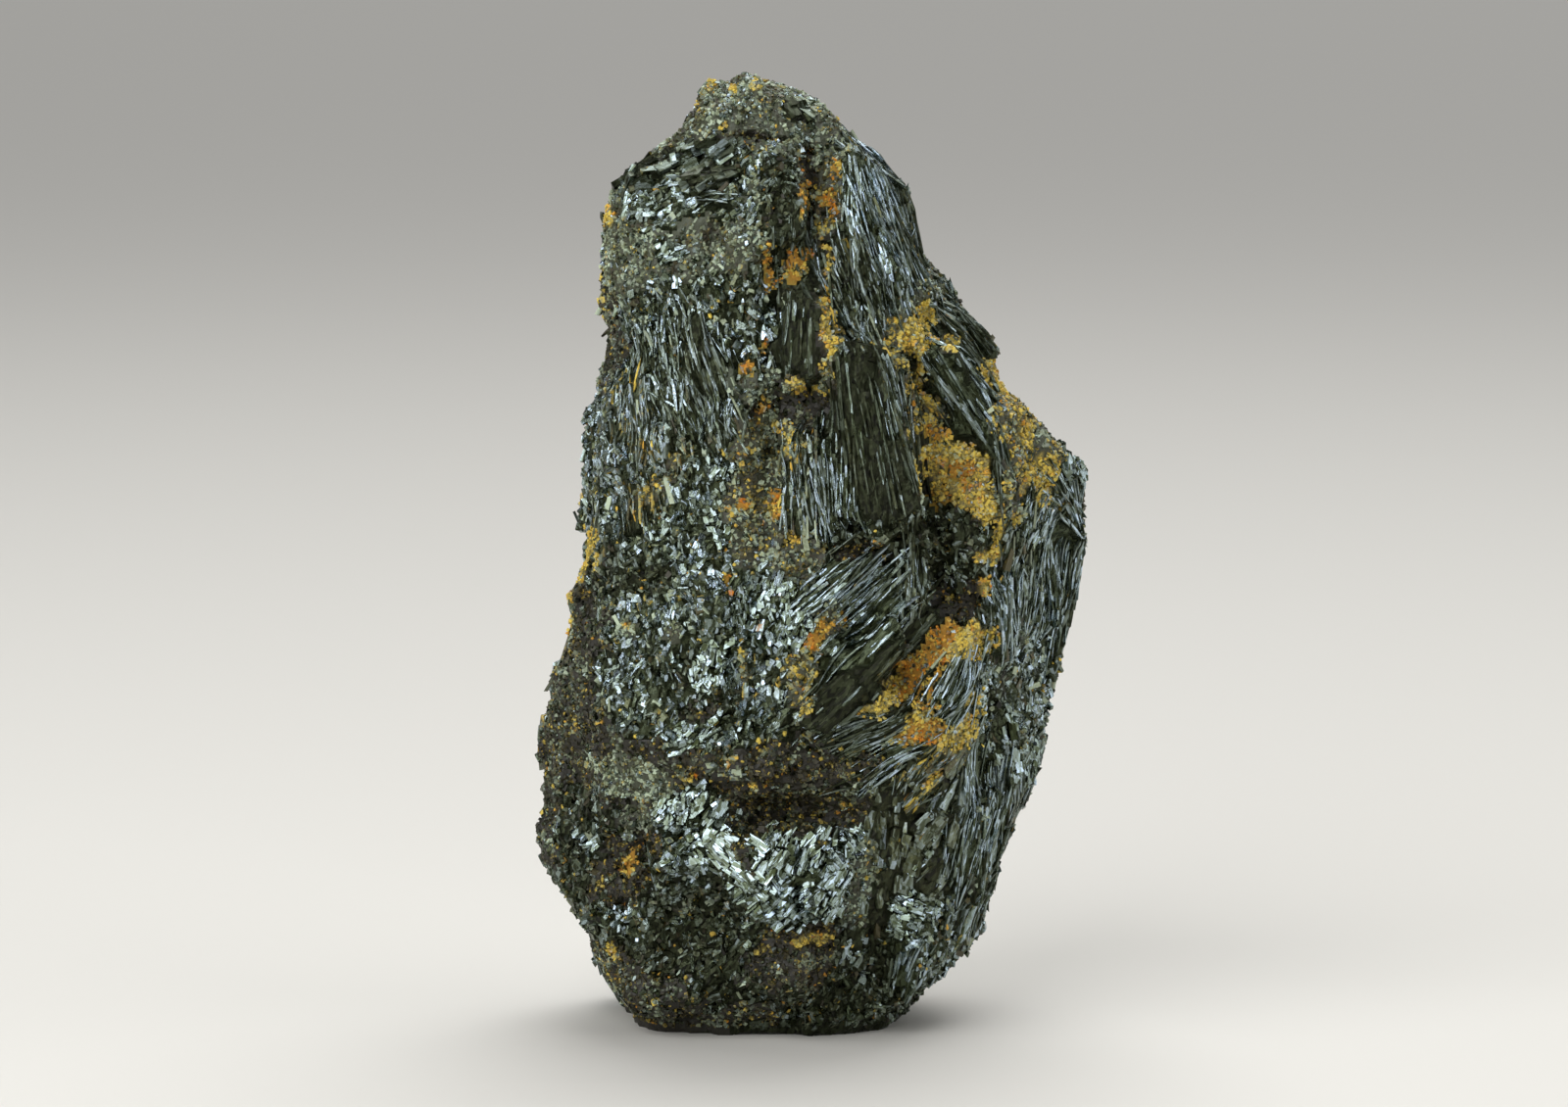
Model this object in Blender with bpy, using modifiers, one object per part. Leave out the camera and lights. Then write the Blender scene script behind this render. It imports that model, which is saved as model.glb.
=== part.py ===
"""A cabinet specimen of massive stibnite: one lump of intergrown, striated blades in a granular
ground, broken flat underneath so that it stands. It is one natural piece, so it is one solid.

The row frame: +Z up, the broken front face towards -Y, and the origin in the middle of the flat foot.
Tables are in millimetres, and everything is scaled to metres once, as each mesh is finished.
"""

import math
import random
from collections import namedtuple

import bmesh
import bpy
from mathutils import Matrix, Vector, noise
from mathutils.bvhtree import BVHTree

MM = 0.001

# Driving dimensions, in millimetres.
HEIGHT = 130.0
SEGMENTS = 150  # columns of the ground mass
RINGS = 120  # rings of the ground mass, foot to tip
FRONT_SHARE = 0.56  # share of the columns on the front
BOXINESS = 2.7  # exponent of the superellipse that each level section follows

# Outline seen from the front: height, left edge, right edge.
Level = namedtuple("Level", "z left right")
OUTLINE = [
    Level(0.0, -21.6, 15.0),
    Level(2.5, -24.6, 17.4),
    Level(5.5, -27.0, 20.6),
    Level(8.5, -26.6, 24.0),
    Level(11.0, -27.2, 26.6),
    Level(15.0, -30.0, 27.8),
    Level(19.0, -31.8, 29.2),
    Level(27.0, -33.4, 31.8),
    Level(33.0, -33.4, 33.4),
    Level(40.0, -34.4, 35.6),
    Level(45.5, -33.4, 37.4),
    Level(51.0, -30.6, 38.4),
    Level(57.5, -29.4, 39.6),
    Level(62.0, -27.2, 40.8),
    Level(69.5, -26.0, 42.6),
    Level(76.0, -25.8, 40.4),
    Level(80.0, -25.7, 37.0),
    Level(84.5, -25.4, 33.0),
    Level(87.5, -25.0, 28.6),
    Level(91.0, -22.9, 27.0),
    Level(96.0, -23.3, 24.4),
    Level(101.5, -24.6, 22.2),
    Level(104.5, -24.5, 19.2),
    Level(110.0, -24.6, 17.6),
    Level(115.0, -22.2, 16.0),
    Level(117.5, -20.0, 12.6),
    Level(120.5, -17.4, 8.8),
    Level(122.6, -14.6, 7.4),
    Level(124.2, -12.0, 5.6),
    Level(127.4, -11.2, 2.6),
    Level(129.2, -10.8, -1.6),
    Level(HEIGHT, -10.0, -5.0),
]

# Outline seen from the side: height, front face, back face.
Depth = namedtuple("Depth", "z front back")
DEPTHS = [
    Depth(0.0, -15.5, 14.0),
    Depth(5.0, -19.5, 16.5),
    Depth(16.0, -22.0, 19.5),
    Depth(30.0, -24.5, 22.0),
    Depth(46.0, -25.0, 23.0),
    Depth(62.0, -23.5, 22.5),
    Depth(78.0, -21.5, 20.5),
    Depth(92.0, -19.0, 17.5),
    Depth(106.0, -16.0, 14.5),
    Depth(118.0, -12.0, 11.5),
    Depth(126.0, -8.0, 8.0),
    Depth(HEIGHT, -4.0, 5.0),
]

# Broken faces: what stands out past each plane is pressed back to it.
Break = namedtuple("Break", "name point normal")
BREAKS = [
    Break("lower_right_flank", (25.0, -15.0, 26.0), (0.80, -0.58, -0.12)),
    Break("middle_right_flank", (34.0, -12.0, 56.0), (0.72, -0.69, 0.0)),
    Break("right_shoulder", (30.0, -10.0, 92.0), (0.74, -0.36, 0.56)),
    Break("left_flank", (-27.0, -10.0, 60.0), (-0.88, -0.46, 0.06)),
    Break("top_left", (-17.0, -6.0, 117.0), (-0.56, -0.50, 0.66)),
    Break("front_foot", (-4.0, -21.0, 9.0), (-0.05, -0.90, -0.42)),
    Break("left_foot", (-28.0, -6.0, 14.0), (-0.84, -0.20, -0.50)),
    Break("back_sheet", (0.0, 19.5, 60.0), (0.06, 1.0, 0.03)),
    Break("back_left", (-20.0, 14.0, 50.0), (-0.70, 0.71, 0.05)),
    Break("back_right", (27.0, 13.0, 62.0), (0.66, 0.74, 0.10)),
    Break("back_top", (-2.0, 13.5, 108.0), (0.10, 0.86, 0.50)),
    Break("back_foot", (0.0, 17.0, 14.0), (0.0, 0.88, -0.48)),
]

# Swellings (rise above 0) and hollows (below 0) of the front face, each an oval leaning clockwise.
Swell = namedtuple("Swell", "x z half_width half_height lean rise")
FRONT_RELIEF = [
    Swell(-16.0, 58.0, 13.0, 19.0, 0, 2.2),  # the grainy left mass
    Swell(-3.0, 31.6, 22.0, 3.2, 4, -4.2),  # recess under its lower edge
    Swell(-4.0, 38.5, 20.0, 4.0, 4, 1.8),  # the edge itself
    Swell(0.5, 23.5, 10.0, 7.5, 20, 3.8),  # lower rosette
    Swell(-13.5, 28.5, 7.5, 6.0, 30, 3.0),  # upper rosette
    Swell(-21.5, 23.5, 5.0, 6.5, 25, -4.4),  # ochre pit
    Swell(-13.0, 14.0, 13.0, 6.0, -8, -2.6),  # dark hollow above the foot
    Swell(0.0, 9.5, 7.0, 4.5, 0, 2.0),  # boss above the foot
    Swell(-20.0, 6.0, 8.0, 5.5, 0, 1.8),  # left toe
    Swell(4.6, 112.0, 2.4, 9.0, -4, -4.0),  # cleft beside the upper column
    Swell(-0.2, 113.5, 5.0, 8.5, 0, 2.0),  # dark upper column
    Swell(-1.0, 92.0, 2.2, 17.0, 2, -2.4),  # orange seam down the middle
    Swell(2.5, 95.0, 4.6, 8.0, -3, 2.4),  # oval blade
    Swell(3.0, 86.5, 4.6, 2.4, 0, -2.8),  # ledge under it
    Swell(11.5, 82.0, 8.5, 15.0, -10, 3.0),  # main blade group
    Swell(20.5, 76.0, 5.5, 9.0, -20, -4.6),  # ochre hollow right of it
    Swell(18.4, 90.0, 2.4, 6.0, -25, -2.2),
    Swell(27.5, 88.0, 5.5, 11.0, -30, 1.8),  # ridge that carries the right blade
    Swell(36.5, 71.0, 7.0, 8.0, 0, 2.0),  # right shoulder
    Swell(23.0, 63.5, 4.4, 4.4, 0, -4.2),  # dark hollow
    Swell(9.5, 50.0, 12.5, 5.0, 45, 3.4),  # diagonal blade group
    Swell(16.0, 49.5, 10.0, 2.4, 45, -2.8),  # seam beneath it
    Swell(21.5, 47.0, 6.5, 9.5, 25, 1.8),
    Swell(27.4, 43.0, 2.0, 12.0, 4, -2.6),  # step on to the flank
]

# Blades of the front face: seat, lean of the upper end to the right, size, and how far they stand out.
Blade = namedtuple("Blade", "x z lean length width rise")
FRONT_BLADES = [
    # upper column, a sheaf of narrow blades
    Blade(9.4, 110.0, -8, 20.0, 2.7, 1.9),
    Blade(12.0, 110.5, -10, 22.0, 2.7, 2.3),
    Blade(14.4, 108.8, -12, 21.0, 2.5, 1.7),
    Blade(16.6, 106.0, -15, 17.0, 2.2, 1.3),
    Blade(12.2, 100.5, -16, 11.0, 2.6, 1.4),
    Blade(15.4, 99.4, -18, 12.0, 2.6, 1.5),
    Blade(-0.2, 113.5, 1, 13.5, 6.4, 1.6),
    # upper left, cleaved plates
    Blade(-19.2, 111.0, 62, 5.6, 4.0, 1.2),
    Blade(-17.4, 116.0, 78, 5.0, 3.6, 1.0),
    Blade(-10.0, 115.8, -75, 6.0, 3.0, 0.9),
    # middle: the oval blade, and the main blades with their sheaf
    Blade(2.5, 95.0, -3, 13.0, 6.2, 1.7),
    Blade(12.4, 82.5, -11, 27.0, 8.4, 1.9),
    Blade(8.2, 82.0, -8, 23.0, 3.6, 1.4),
    Blade(16.6, 84.0, -13, 18.0, 2.8, 1.5),
    Blade(5.0, 76.0, -8, 14.0, 4.0, 1.4),
    # right: the free-standing blade in its ochre bed
    Blade(24.2, 86.9, -30, 16.5, 5.2, 3.0),
    Blade(27.6, 94.6, -30, 9.0, 3.2, 1.6),
    Blade(28.6, 79.0, -27, 10.0, 1.5, 1.6),
    Blade(29.6, 71.5, -6, 12.0, 1.6, 1.5),
    Blade(17.9, 66.1, -4, 12.0, 2.6, 2.2),
    # right shoulder, a fan
    Blade(38.6, 71.6, -48, 7.5, 1.9, 1.5),
    Blade(38.8, 67.4, -58, 6.5, 2.2, 1.7),
    Blade(36.4, 75.2, -38, 6.0, 1.7, 1.4),
    Blade(31.2, 67.7, 42, 7.0, 1.8, 1.6),
    # right flank, upright columns
    Blade(29.6, 57.0, -4, 12.0, 2.0, 1.1),
    Blade(31.9, 58.5, 2, 13.0, 1.9, 1.4),
    Blade(34.1, 61.0, 2, 11.5, 1.8, 1.4),
    Blade(36.2, 60.5, 4, 12.5, 2.0, 1.6),
    Blade(38.4, 55.0, 7, 19.0, 2.2, 1.1),
    Blade(30.6, 46.5, 3, 10.0, 4.0, 0.9),
    Blade(30.8, 38.2, 5, 9.5, 4.8, 1.8),
    # lower right flank, a long sheaf
    Blade(29.4, 28.0, 9, 14.0, 2.0, 1.3),
    Blade(27.2, 26.0, 10, 17.0, 2.2, 1.7),
    Blade(24.8, 24.6, 12, 20.0, 2.2, 1.4),
    Blade(22.4, 29.0, 15, 12.0, 2.0, 1.2),
    Blade(24.6, 18.0, 12, 11.0, 2.3, 1.4),
    Blade(22.0, 17.0, 12, 12.0, 2.3, 1.3),
    Blade(18.6, 27.0, 20, 12.0, 2.0, 1.8),
    Blade(17.8, 15.4, 12, 6.0, 5.6, 1.2),
    Blade(16.0, 8.4, 12, 8.6, 4.8, 1.5),
    # centre: the diagonal group
    Blade(9.4, 50.6, 43, 19.0, 5.4, 1.8),
    Blade(11.6, 56.4, 49, 14.5, 2.2, 1.9),
    Blade(4.4, 46.4, 43, 15.0, 3.0, 1.4),
    Blade(9.6, 43.2, 50, 15.0, 1.9, 1.4),
    Blade(7.2, 61.4, 53, 8.0, 1.5, 1.5),
    Blade(5.0, 64.2, 56, 6.5, 1.3, 1.3),
    Blade(11.4, 62.6, 50, 6.5, 1.4, 1.3),
    # right of centre, sheaves between the ochre seams
    Blade(18.4, 48.8, 30, 9.0, 1.6, 1.3),
    Blade(20.6, 50.2, 26, 11.0, 1.7, 1.4),
    Blade(22.8, 51.6, 22, 12.0, 1.7, 1.4),
    Blade(24.8, 53.0, 18, 10.0, 1.6, 1.3),
    Blade(13.4, 39.0, 62, 10.0, 2.0, 1.4),
    Blade(17.0, 36.8, 60, 8.5, 1.8, 1.3),
    # left mass, short cleaved plates
    Blade(-9.4, 59.0, 20, 6.0, 3.4, 1.1),
    Blade(-9.0, 51.4, 12, 7.0, 3.0, 1.1),
    Blade(-13.0, 43.6, 52, 6.5, 2.2, 1.3),
    Blade(-18.4, 63.0, -30, 6.5, 3.2, 1.0),
    Blade(-8.0, 88.0, -14, 5.5, 2.6, 1.2),
]

# Rosettes of overlapping plates: centre, radius of the plates' middles, first and last direction
# from the centre, count, how far each plate is turned from pointing outwards, and its size.
Fan = namedtuple("Fan", "x z radius first last count twist length width rise")
FRONT_FANS = [
    Fan(0.8, 24.0, 4.8, 110, -140, 9, 62, 7.4, 4.4, 1.2),
    Fan(0.2, 24.4, 1.6, 60, -120, 3, 62, 5.0, 3.4, 2.2),
    Fan(-13.0, 28.8, 3.4, 70, -150, 6, 58, 5.8, 3.6, 1.1),
]

# Sheaves that cover the sides and the back: direction faced, height, offset across, lean, blades.
Sheaf = namedtuple("Sheaf", "facing across z lean count length width")
HIDDEN_SHEAVES = [
    Sheaf(115, -4.0, 66.0, 6, 3, 20.0, 3.6),
    Sheaf(120, 4.0, 34.0, 14, 3, 15.0, 3.0),
    Sheaf(150, 2.0, 30.0, -12, 4, 17.0, 3.0),
    Sheaf(165, 8.0, 108.0, -10, 3, 13.0, 2.8),
    Sheaf(180, 6.0, 84.0, 10, 4, 22.0, 3.8),
    Sheaf(180, -14.0, 50.0, -18, 4, 24.0, 4.2),
    Sheaf(190, 6.0, 24.0, 34, 4, 15.0, 3.2),
    Sheaf(205, -2.0, 104.0, 24, 3, 12.0, 2.8),
    Sheaf(215, 2.0, 74.0, -28, 4, 14.0, 3.0),
    Sheaf(235, 4.0, 40.0, 30, 3, 16.0, 3.6),
    Sheaf(262, 0.0, 74.0, -6, 3, 18.0, 3.4),
]

# How a blade is cut: it is seated this deep, with this much slope across its ends.
ROOT_DEPTH = 5.5
END_SLOPE = 0.45
RIDGE_SINK = 0.30  # how far the grooves between its ridges sink, as a share of the rise
EDGE_SINK = 0.45  # how far its long edges drop, as a share of the rise
ROOT_TAPER = 0.7  # length of its hidden root, as a share of the blade's length

# Roughness of the ground mass: size of the broken grains, and how far they stand out and tilt.
GRAINS = [(9.5, 2.1), (4.4, 1.3)]
GRAIN_SLENDERNESS = 1.5  # grains are this much longer upwards than across
CELL_SCRAMBLE = 7.3  # spreads the grains' centres over the noise, so that neighbours differ
SEED = 11

# The skin left by the union is healed on a grid this fine, then taken down to this share of its faces.
SKIN_VOXEL = 0.5
FACET_SHARE = 0.031
FOOT_CUTTER = 200.0  # side of the block below the floor that cuts the foot flat
FOOT_SPARE = 1.5  # how far the ground mass reaches below the floor before it is cut

LEAD_GREY = (0.16, 0.17, 0.18, 1.0)


def between(table, z, field):
    """A field of a table of stations, read in straight steps at height z."""
    if z <= table[0].z:
        return getattr(table[0], field)
    for low, high in zip(table, table[1:]):
        if z <= high.z:
            share = (z - low.z) / (high.z - low.z)
            return getattr(low, field) * (1 - share) + getattr(high, field) * share
    return getattr(table[-1], field)


def clear_scene():
    for obj in list(bpy.data.objects):
        bpy.data.objects.remove(obj)


def new_collection(name, shown):
    collection = bpy.data.collections.new(name)
    collection.hide_render = not shown
    bpy.context.scene.collection.children.link(collection)
    return collection


def stibnite_material():
    material = bpy.data.materials.new("massive_stibnite")
    material.use_nodes = True
    shader = material.node_tree.nodes["Principled BSDF"]
    shader.inputs["Base Color"].default_value = LEAD_GREY
    shader.inputs["Metallic"].default_value = 0.7
    shader.inputs["Roughness"].default_value = 0.42
    return material


def object_from(bm, name, collection, material):
    """Scales a finished bmesh to metres and links it as an object, in triangles so that all is flat."""
    bmesh.ops.triangulate(bm, faces=bm.faces)
    bmesh.ops.scale(bm, vec=(MM, MM, MM), verts=bm.verts)
    mesh = bpy.data.meshes.new(name)
    bm.to_mesh(mesh)
    bm.free()
    mesh.materials.append(material)
    obj = bpy.data.objects.new(name, mesh)
    collection.objects.link(obj)
    return obj


def column_angle(share):
    """Angle round the section for a column, with the columns crowded on the front face."""
    if share < FRONT_SHARE:
        return math.pi + math.pi * share / FRONT_SHARE
    return math.pi * (share - FRONT_SHARE) / (1 - FRONT_SHARE)


def section_point(angle, z):
    """A point of the level section at height z: four superellipse quarters that meet."""
    left, right = between(OUTLINE, z, "left"), between(OUTLINE, z, "right")
    front, back = between(DEPTHS, z, "front"), between(DEPTHS, z, "back")
    middle = (left + right) / 2
    across, through = math.cos(angle), math.sin(angle)
    power = 2 / BOXINESS
    x = middle + math.copysign(abs(across) ** power, across) * (right - left) / 2
    y = math.copysign(abs(through) ** power, through) * (back if through > 0 else -front)
    return Vector((x, y, z))


def pressed_to_breaks(point):
    for face in BREAKS:
        normal = Vector(face.normal).normalized()
        beyond = (point - Vector(face.point)).dot(normal)
        if beyond > 0:
            point = point - normal * beyond
    return point


def oval_weight(swell, x, z):
    """1 in the middle of an oval, falling smoothly to 0 at its edge."""
    lean = math.radians(swell.lean)
    dx, dz = x - swell.x, z - swell.z
    across = dx * math.cos(lean) - dz * math.sin(lean)
    along = dx * math.sin(lean) + dz * math.cos(lean)
    reach = (across / swell.half_width) ** 2 + (along / swell.half_height) ** 2
    return max(0.0, 1 - reach / 2) ** 2


def front_rise(point):
    return sum(s.rise * oval_weight(s, point.x, point.z) for s in FRONT_RELIEF)


def broken_rise(point):
    """Grains with flat, tilted faces and sharp steps between them, as the lump broke."""
    rise = 0.0
    stretched = Vector((point.x, point.y, point.z / GRAIN_SLENDERNESS))
    for size, height in GRAINS:
        place = stretched / size
        centre = noise.voronoi(place)[1][0]
        tilt = noise.cell_vector(centre * CELL_SCRAMBLE) * 2 - Vector((1, 1, 1))
        rise += height * (tilt.x + (place - centre).dot(tilt)) / 2
    return rise


def ground_mass():
    """The lump itself: a capped cylinder whose rings are moved on to the specimen's sections."""
    bm = bmesh.new()
    bmesh.ops.create_cone(
        bm, cap_ends=True, segments=SEGMENTS, radius1=1, radius2=1, depth=1
    )
    upright = [e for e in bm.edges if abs(e.verts[0].co.z - e.verts[1].co.z) > 0.5]
    bmesh.ops.subdivide_edges(bm, edges=upright, cuts=RINGS - 1, use_grid_fill=True)
    for vert in bm.verts:
        share = (math.atan2(vert.co.y, vert.co.x) / (2 * math.pi)) % 1
        z = (vert.co.z + 0.5) * HEIGHT
        point = pressed_to_breaks(section_point(column_angle(share), z))
        middle = (between(OUTLINE, z, "left") + between(OUTLINE, z, "right")) / 2
        outward = Vector((point.x - middle, point.y, 0)).normalized()
        facing = max(0.0, -outward.y) ** 0.5
        point += outward * (front_rise(point) * facing)
        fade = min(1.0, z / 6 + 0.6, (HEIGHT - z) / 5 + 0.35)
        point += outward * (broken_rise(point) * fade)
        if z < HEIGHT / RINGS / 2:
            point.z = -FOOT_SPARE
        vert.co = point
    bm.normal_update()
    return bm


def seat_on(surface, x, z, facing):
    """Where a blade sits: the surface met by looking at it from outside, and its mean normal.

    facing is the direction of the side that is looked at, in degrees from the front."""
    turn = Matrix.Rotation(math.radians(facing), 3, "Z")
    look = turn @ Vector((0, 1, 0))
    normals = Vector()
    middle = None
    for dx, dz in ((0, 0), (2, 0), (-2, 0), (0, 3), (0, -3)):
        start = turn @ Vector((x + dx, -200, z + dz))
        start.z = z + dz
        point, normal, _, _ = surface.ray_cast(start, look)
        if point is None:
            continue
        normals += normal
        if middle is None:
            middle = point
    return middle, normals.normalized(), turn


def ridged_block(blade):
    """A blade in its own axes: X across it, Y out of the surface, Z along it."""
    block = bmesh.new()
    bmesh.ops.create_cube(block, size=1)
    crosswise = [e for e in block.edges if abs(e.verts[0].co.x - e.verts[1].co.x) > 0.5]
    ridges = 1 if blade.width < 2.5 else (3 if blade.width < 7 else 5)
    bmesh.ops.subdivide_edges(block, edges=crosswise, cuts=ridges, use_grid_fill=True)
    for vert in block.verts:
        x, y, z = vert.co
        strip = round((x + 0.5) * (ridges + 1))
        sunk = RIDGE_SINK if ridges > 1 and strip % 2 == 0 else 0.0
        if strip in (0, ridges + 1):
            sunk = EDGE_SINK
        height = blade.rise * (1 - sunk) if y > 0 else -ROOT_DEPTH
        along = z * blade.length + math.copysign(END_SLOPE, z) * x * blade.width
        taper = ROOT_TAPER if y < 0 else 1.0
        vert.co = (x * blade.width, height, along * taper)
    return block


def add_blade(bm, surface, blade, facing=0.0):
    """One blade: a block ridged along its length, seated in the surface and leaning as asked."""
    place, normal, turn = seat_on(surface, blade.x, blade.z, facing)
    if place is None:
        return
    lean = math.radians(blade.lean)
    upward = turn @ Vector((math.sin(lean), 0, math.cos(lean)))
    axis = (upward - normal * upward.dot(normal)).normalized()
    across = normal.cross(axis)
    block = ridged_block(blade)
    for vert in block.verts:
        x, y, z = vert.co
        vert.co = place + across * x + normal * y + axis * z
    piece = bpy.data.meshes.new("blade")
    block.to_mesh(piece)
    block.free()
    bm.from_mesh(piece)
    bpy.data.meshes.remove(piece)


def fan_blades(fan):
    """The plates of a fan, each turned a step further round its centre."""
    for i in range(fan.count):
        outward = fan.first + (fan.last - fan.first) * i / (fan.count - 1)
        x = fan.x + fan.radius * math.sin(math.radians(outward))
        z = fan.z + fan.radius * math.cos(math.radians(outward))
        yield Blade(x, z, outward + fan.twist, fan.length, fan.width, fan.rise)


def sheaf_blades(sheaf, shuffle):
    """Neighbouring blades of a hidden side, side by side and slightly out of line."""
    for i in range(sheaf.count):
        x = sheaf.across + (i - (sheaf.count - 1) / 2) * sheaf.width * 0.95
        yield Blade(
            x,
            sheaf.z + shuffle.uniform(-4, 4),
            sheaf.lean + shuffle.uniform(-5, 5),
            sheaf.length * shuffle.uniform(0.75, 1.1),
            sheaf.width * shuffle.uniform(0.8, 1.15),
            shuffle.uniform(1.2, 2.0),
        )


def crystal_blades(surface):
    shuffle = random.Random(SEED)
    bm = bmesh.new()
    for blade in FRONT_BLADES:
        add_blade(bm, surface, blade)
    for fan in FRONT_FANS:
        for blade in fan_blades(fan):
            add_blade(bm, surface, blade)
    for sheaf in HIDDEN_SHEAVES:
        for blade in sheaf_blades(sheaf, shuffle):
            add_blade(bm, surface, blade, sheaf.facing)
    return bm


def main():
    clear_scene()
    specimen = new_collection("stibnite_specimen", shown=True)
    helpers = new_collection("blade_helpers", shown=False)
    material = stibnite_material()
    ground = ground_mass()
    blades = crystal_blades(BVHTree.FromBMesh(ground))
    mass = object_from(ground, "stibnite_mass", specimen, material)
    grown = object_from(blades, "blades", helpers, material)
    grown.hide_render = True
    grown.display_type = "WIRE"
    join = mass.modifiers.new("grown_together", "BOOLEAN")
    join.operation = "UNION"
    join.solver = "EXACT"
    join.use_self = True
    join.object = grown
    heal = mass.modifiers.new("healed_skin", "REMESH")
    heal.mode = "VOXEL"
    heal.voxel_size = SKIN_VOXEL * MM
    heal.use_smooth_shade = False
    facet = mass.modifiers.new("broken_facets", "DECIMATE")
    facet.ratio = FACET_SHARE
    foot = bmesh.new()
    bmesh.ops.create_cube(foot, size=FOOT_CUTTER)
    bmesh.ops.translate(foot, vec=(0, 0, -FOOT_CUTTER / 2), verts=foot.verts)
    cutter = object_from(foot, "foot_plane", helpers, material)
    cutter.hide_render = True
    cutter.display_type = "WIRE"
    flat = mass.modifiers.new("flat_foot", "BOOLEAN")
    flat.operation = "DIFFERENCE"
    flat.solver = "EXACT"
    flat.object = cutter


main()
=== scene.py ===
"""The looks of a specimen of massive bladed stibnite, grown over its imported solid.

The solid gives the form. Its skin is rebuilt here as a rough ground mass, and then thousands of
laths, cleavage chips and plates, gangue grains and ochre crumbs are seated in it, each lying the
way the crystals around it grew. Tables are in millimetres; every mesh is finished in metres.
"""

import functools
import math
from collections import namedtuple

import bmesh
import bpy
import numpy as np
from bpy.props import FloatProperty, FloatVectorProperty, IntProperty, PointerProperty
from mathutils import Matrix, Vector, noise
from mathutils.bvhtree import BVHTree


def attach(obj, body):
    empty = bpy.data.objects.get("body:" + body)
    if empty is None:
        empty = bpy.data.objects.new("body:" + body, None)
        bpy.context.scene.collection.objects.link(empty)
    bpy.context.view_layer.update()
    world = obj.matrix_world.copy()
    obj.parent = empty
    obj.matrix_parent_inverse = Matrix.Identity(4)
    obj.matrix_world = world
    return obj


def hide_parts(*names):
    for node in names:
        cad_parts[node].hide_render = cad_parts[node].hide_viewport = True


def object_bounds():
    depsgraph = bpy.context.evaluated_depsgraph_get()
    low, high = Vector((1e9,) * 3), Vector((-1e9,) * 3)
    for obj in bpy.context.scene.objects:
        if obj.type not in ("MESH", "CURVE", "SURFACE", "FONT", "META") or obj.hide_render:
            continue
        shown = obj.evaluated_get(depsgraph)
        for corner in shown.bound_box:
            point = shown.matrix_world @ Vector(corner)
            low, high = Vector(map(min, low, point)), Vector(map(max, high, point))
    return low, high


bl_info = {
    "name": "Stibnite Specimen",
    "version": (1, 0, 0),
    "blender": (4, 5, 0),
    "location": "View3D > Sidebar > Stibnite",
    "description": "Grows the skin of a massive bladed stibnite specimen over its solid",
    "category": "Object",
}

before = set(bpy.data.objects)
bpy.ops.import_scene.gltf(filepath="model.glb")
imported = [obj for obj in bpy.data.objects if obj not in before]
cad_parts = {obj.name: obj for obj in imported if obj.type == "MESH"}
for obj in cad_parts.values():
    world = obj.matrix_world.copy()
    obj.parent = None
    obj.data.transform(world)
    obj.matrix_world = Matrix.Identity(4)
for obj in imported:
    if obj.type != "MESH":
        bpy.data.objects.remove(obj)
CAD_LOW, CAD_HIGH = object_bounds()

MM = 0.001
LOW_MM, HIGH_MM = np.array(CAD_LOW) / MM, np.array(CAD_HIGH) / MM
NODE = "stibnite_mass"
SEED = 20
noise.seed_set(SEED)  # otherwise the noise differs each time

# The forms of crystal. cover is how densely each lies, and largest how big it grows, both beside
# the usual. stain is how much ochre the stains add, and thickness its depth beside its width.
# The draws of its shapes start from first_seed.
Form = namedtuple("Form", "cover largest stain thickness first_seed")
FORMS = {
    "lath": Form(1.5, 2.4, 0.1, 1.6, 0),
    "chip": Form(0.9, 1.7, 0.22, 1.2, 100),
    "plate": Form(2.4, 1.7, 0.22, 0.7, 100),
    "grain": Form(0.95, 1.7, 0.22, 1, 200),
    "crumb": Form(1.2, 1.7, 0.22, 1, 300),
}

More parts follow.
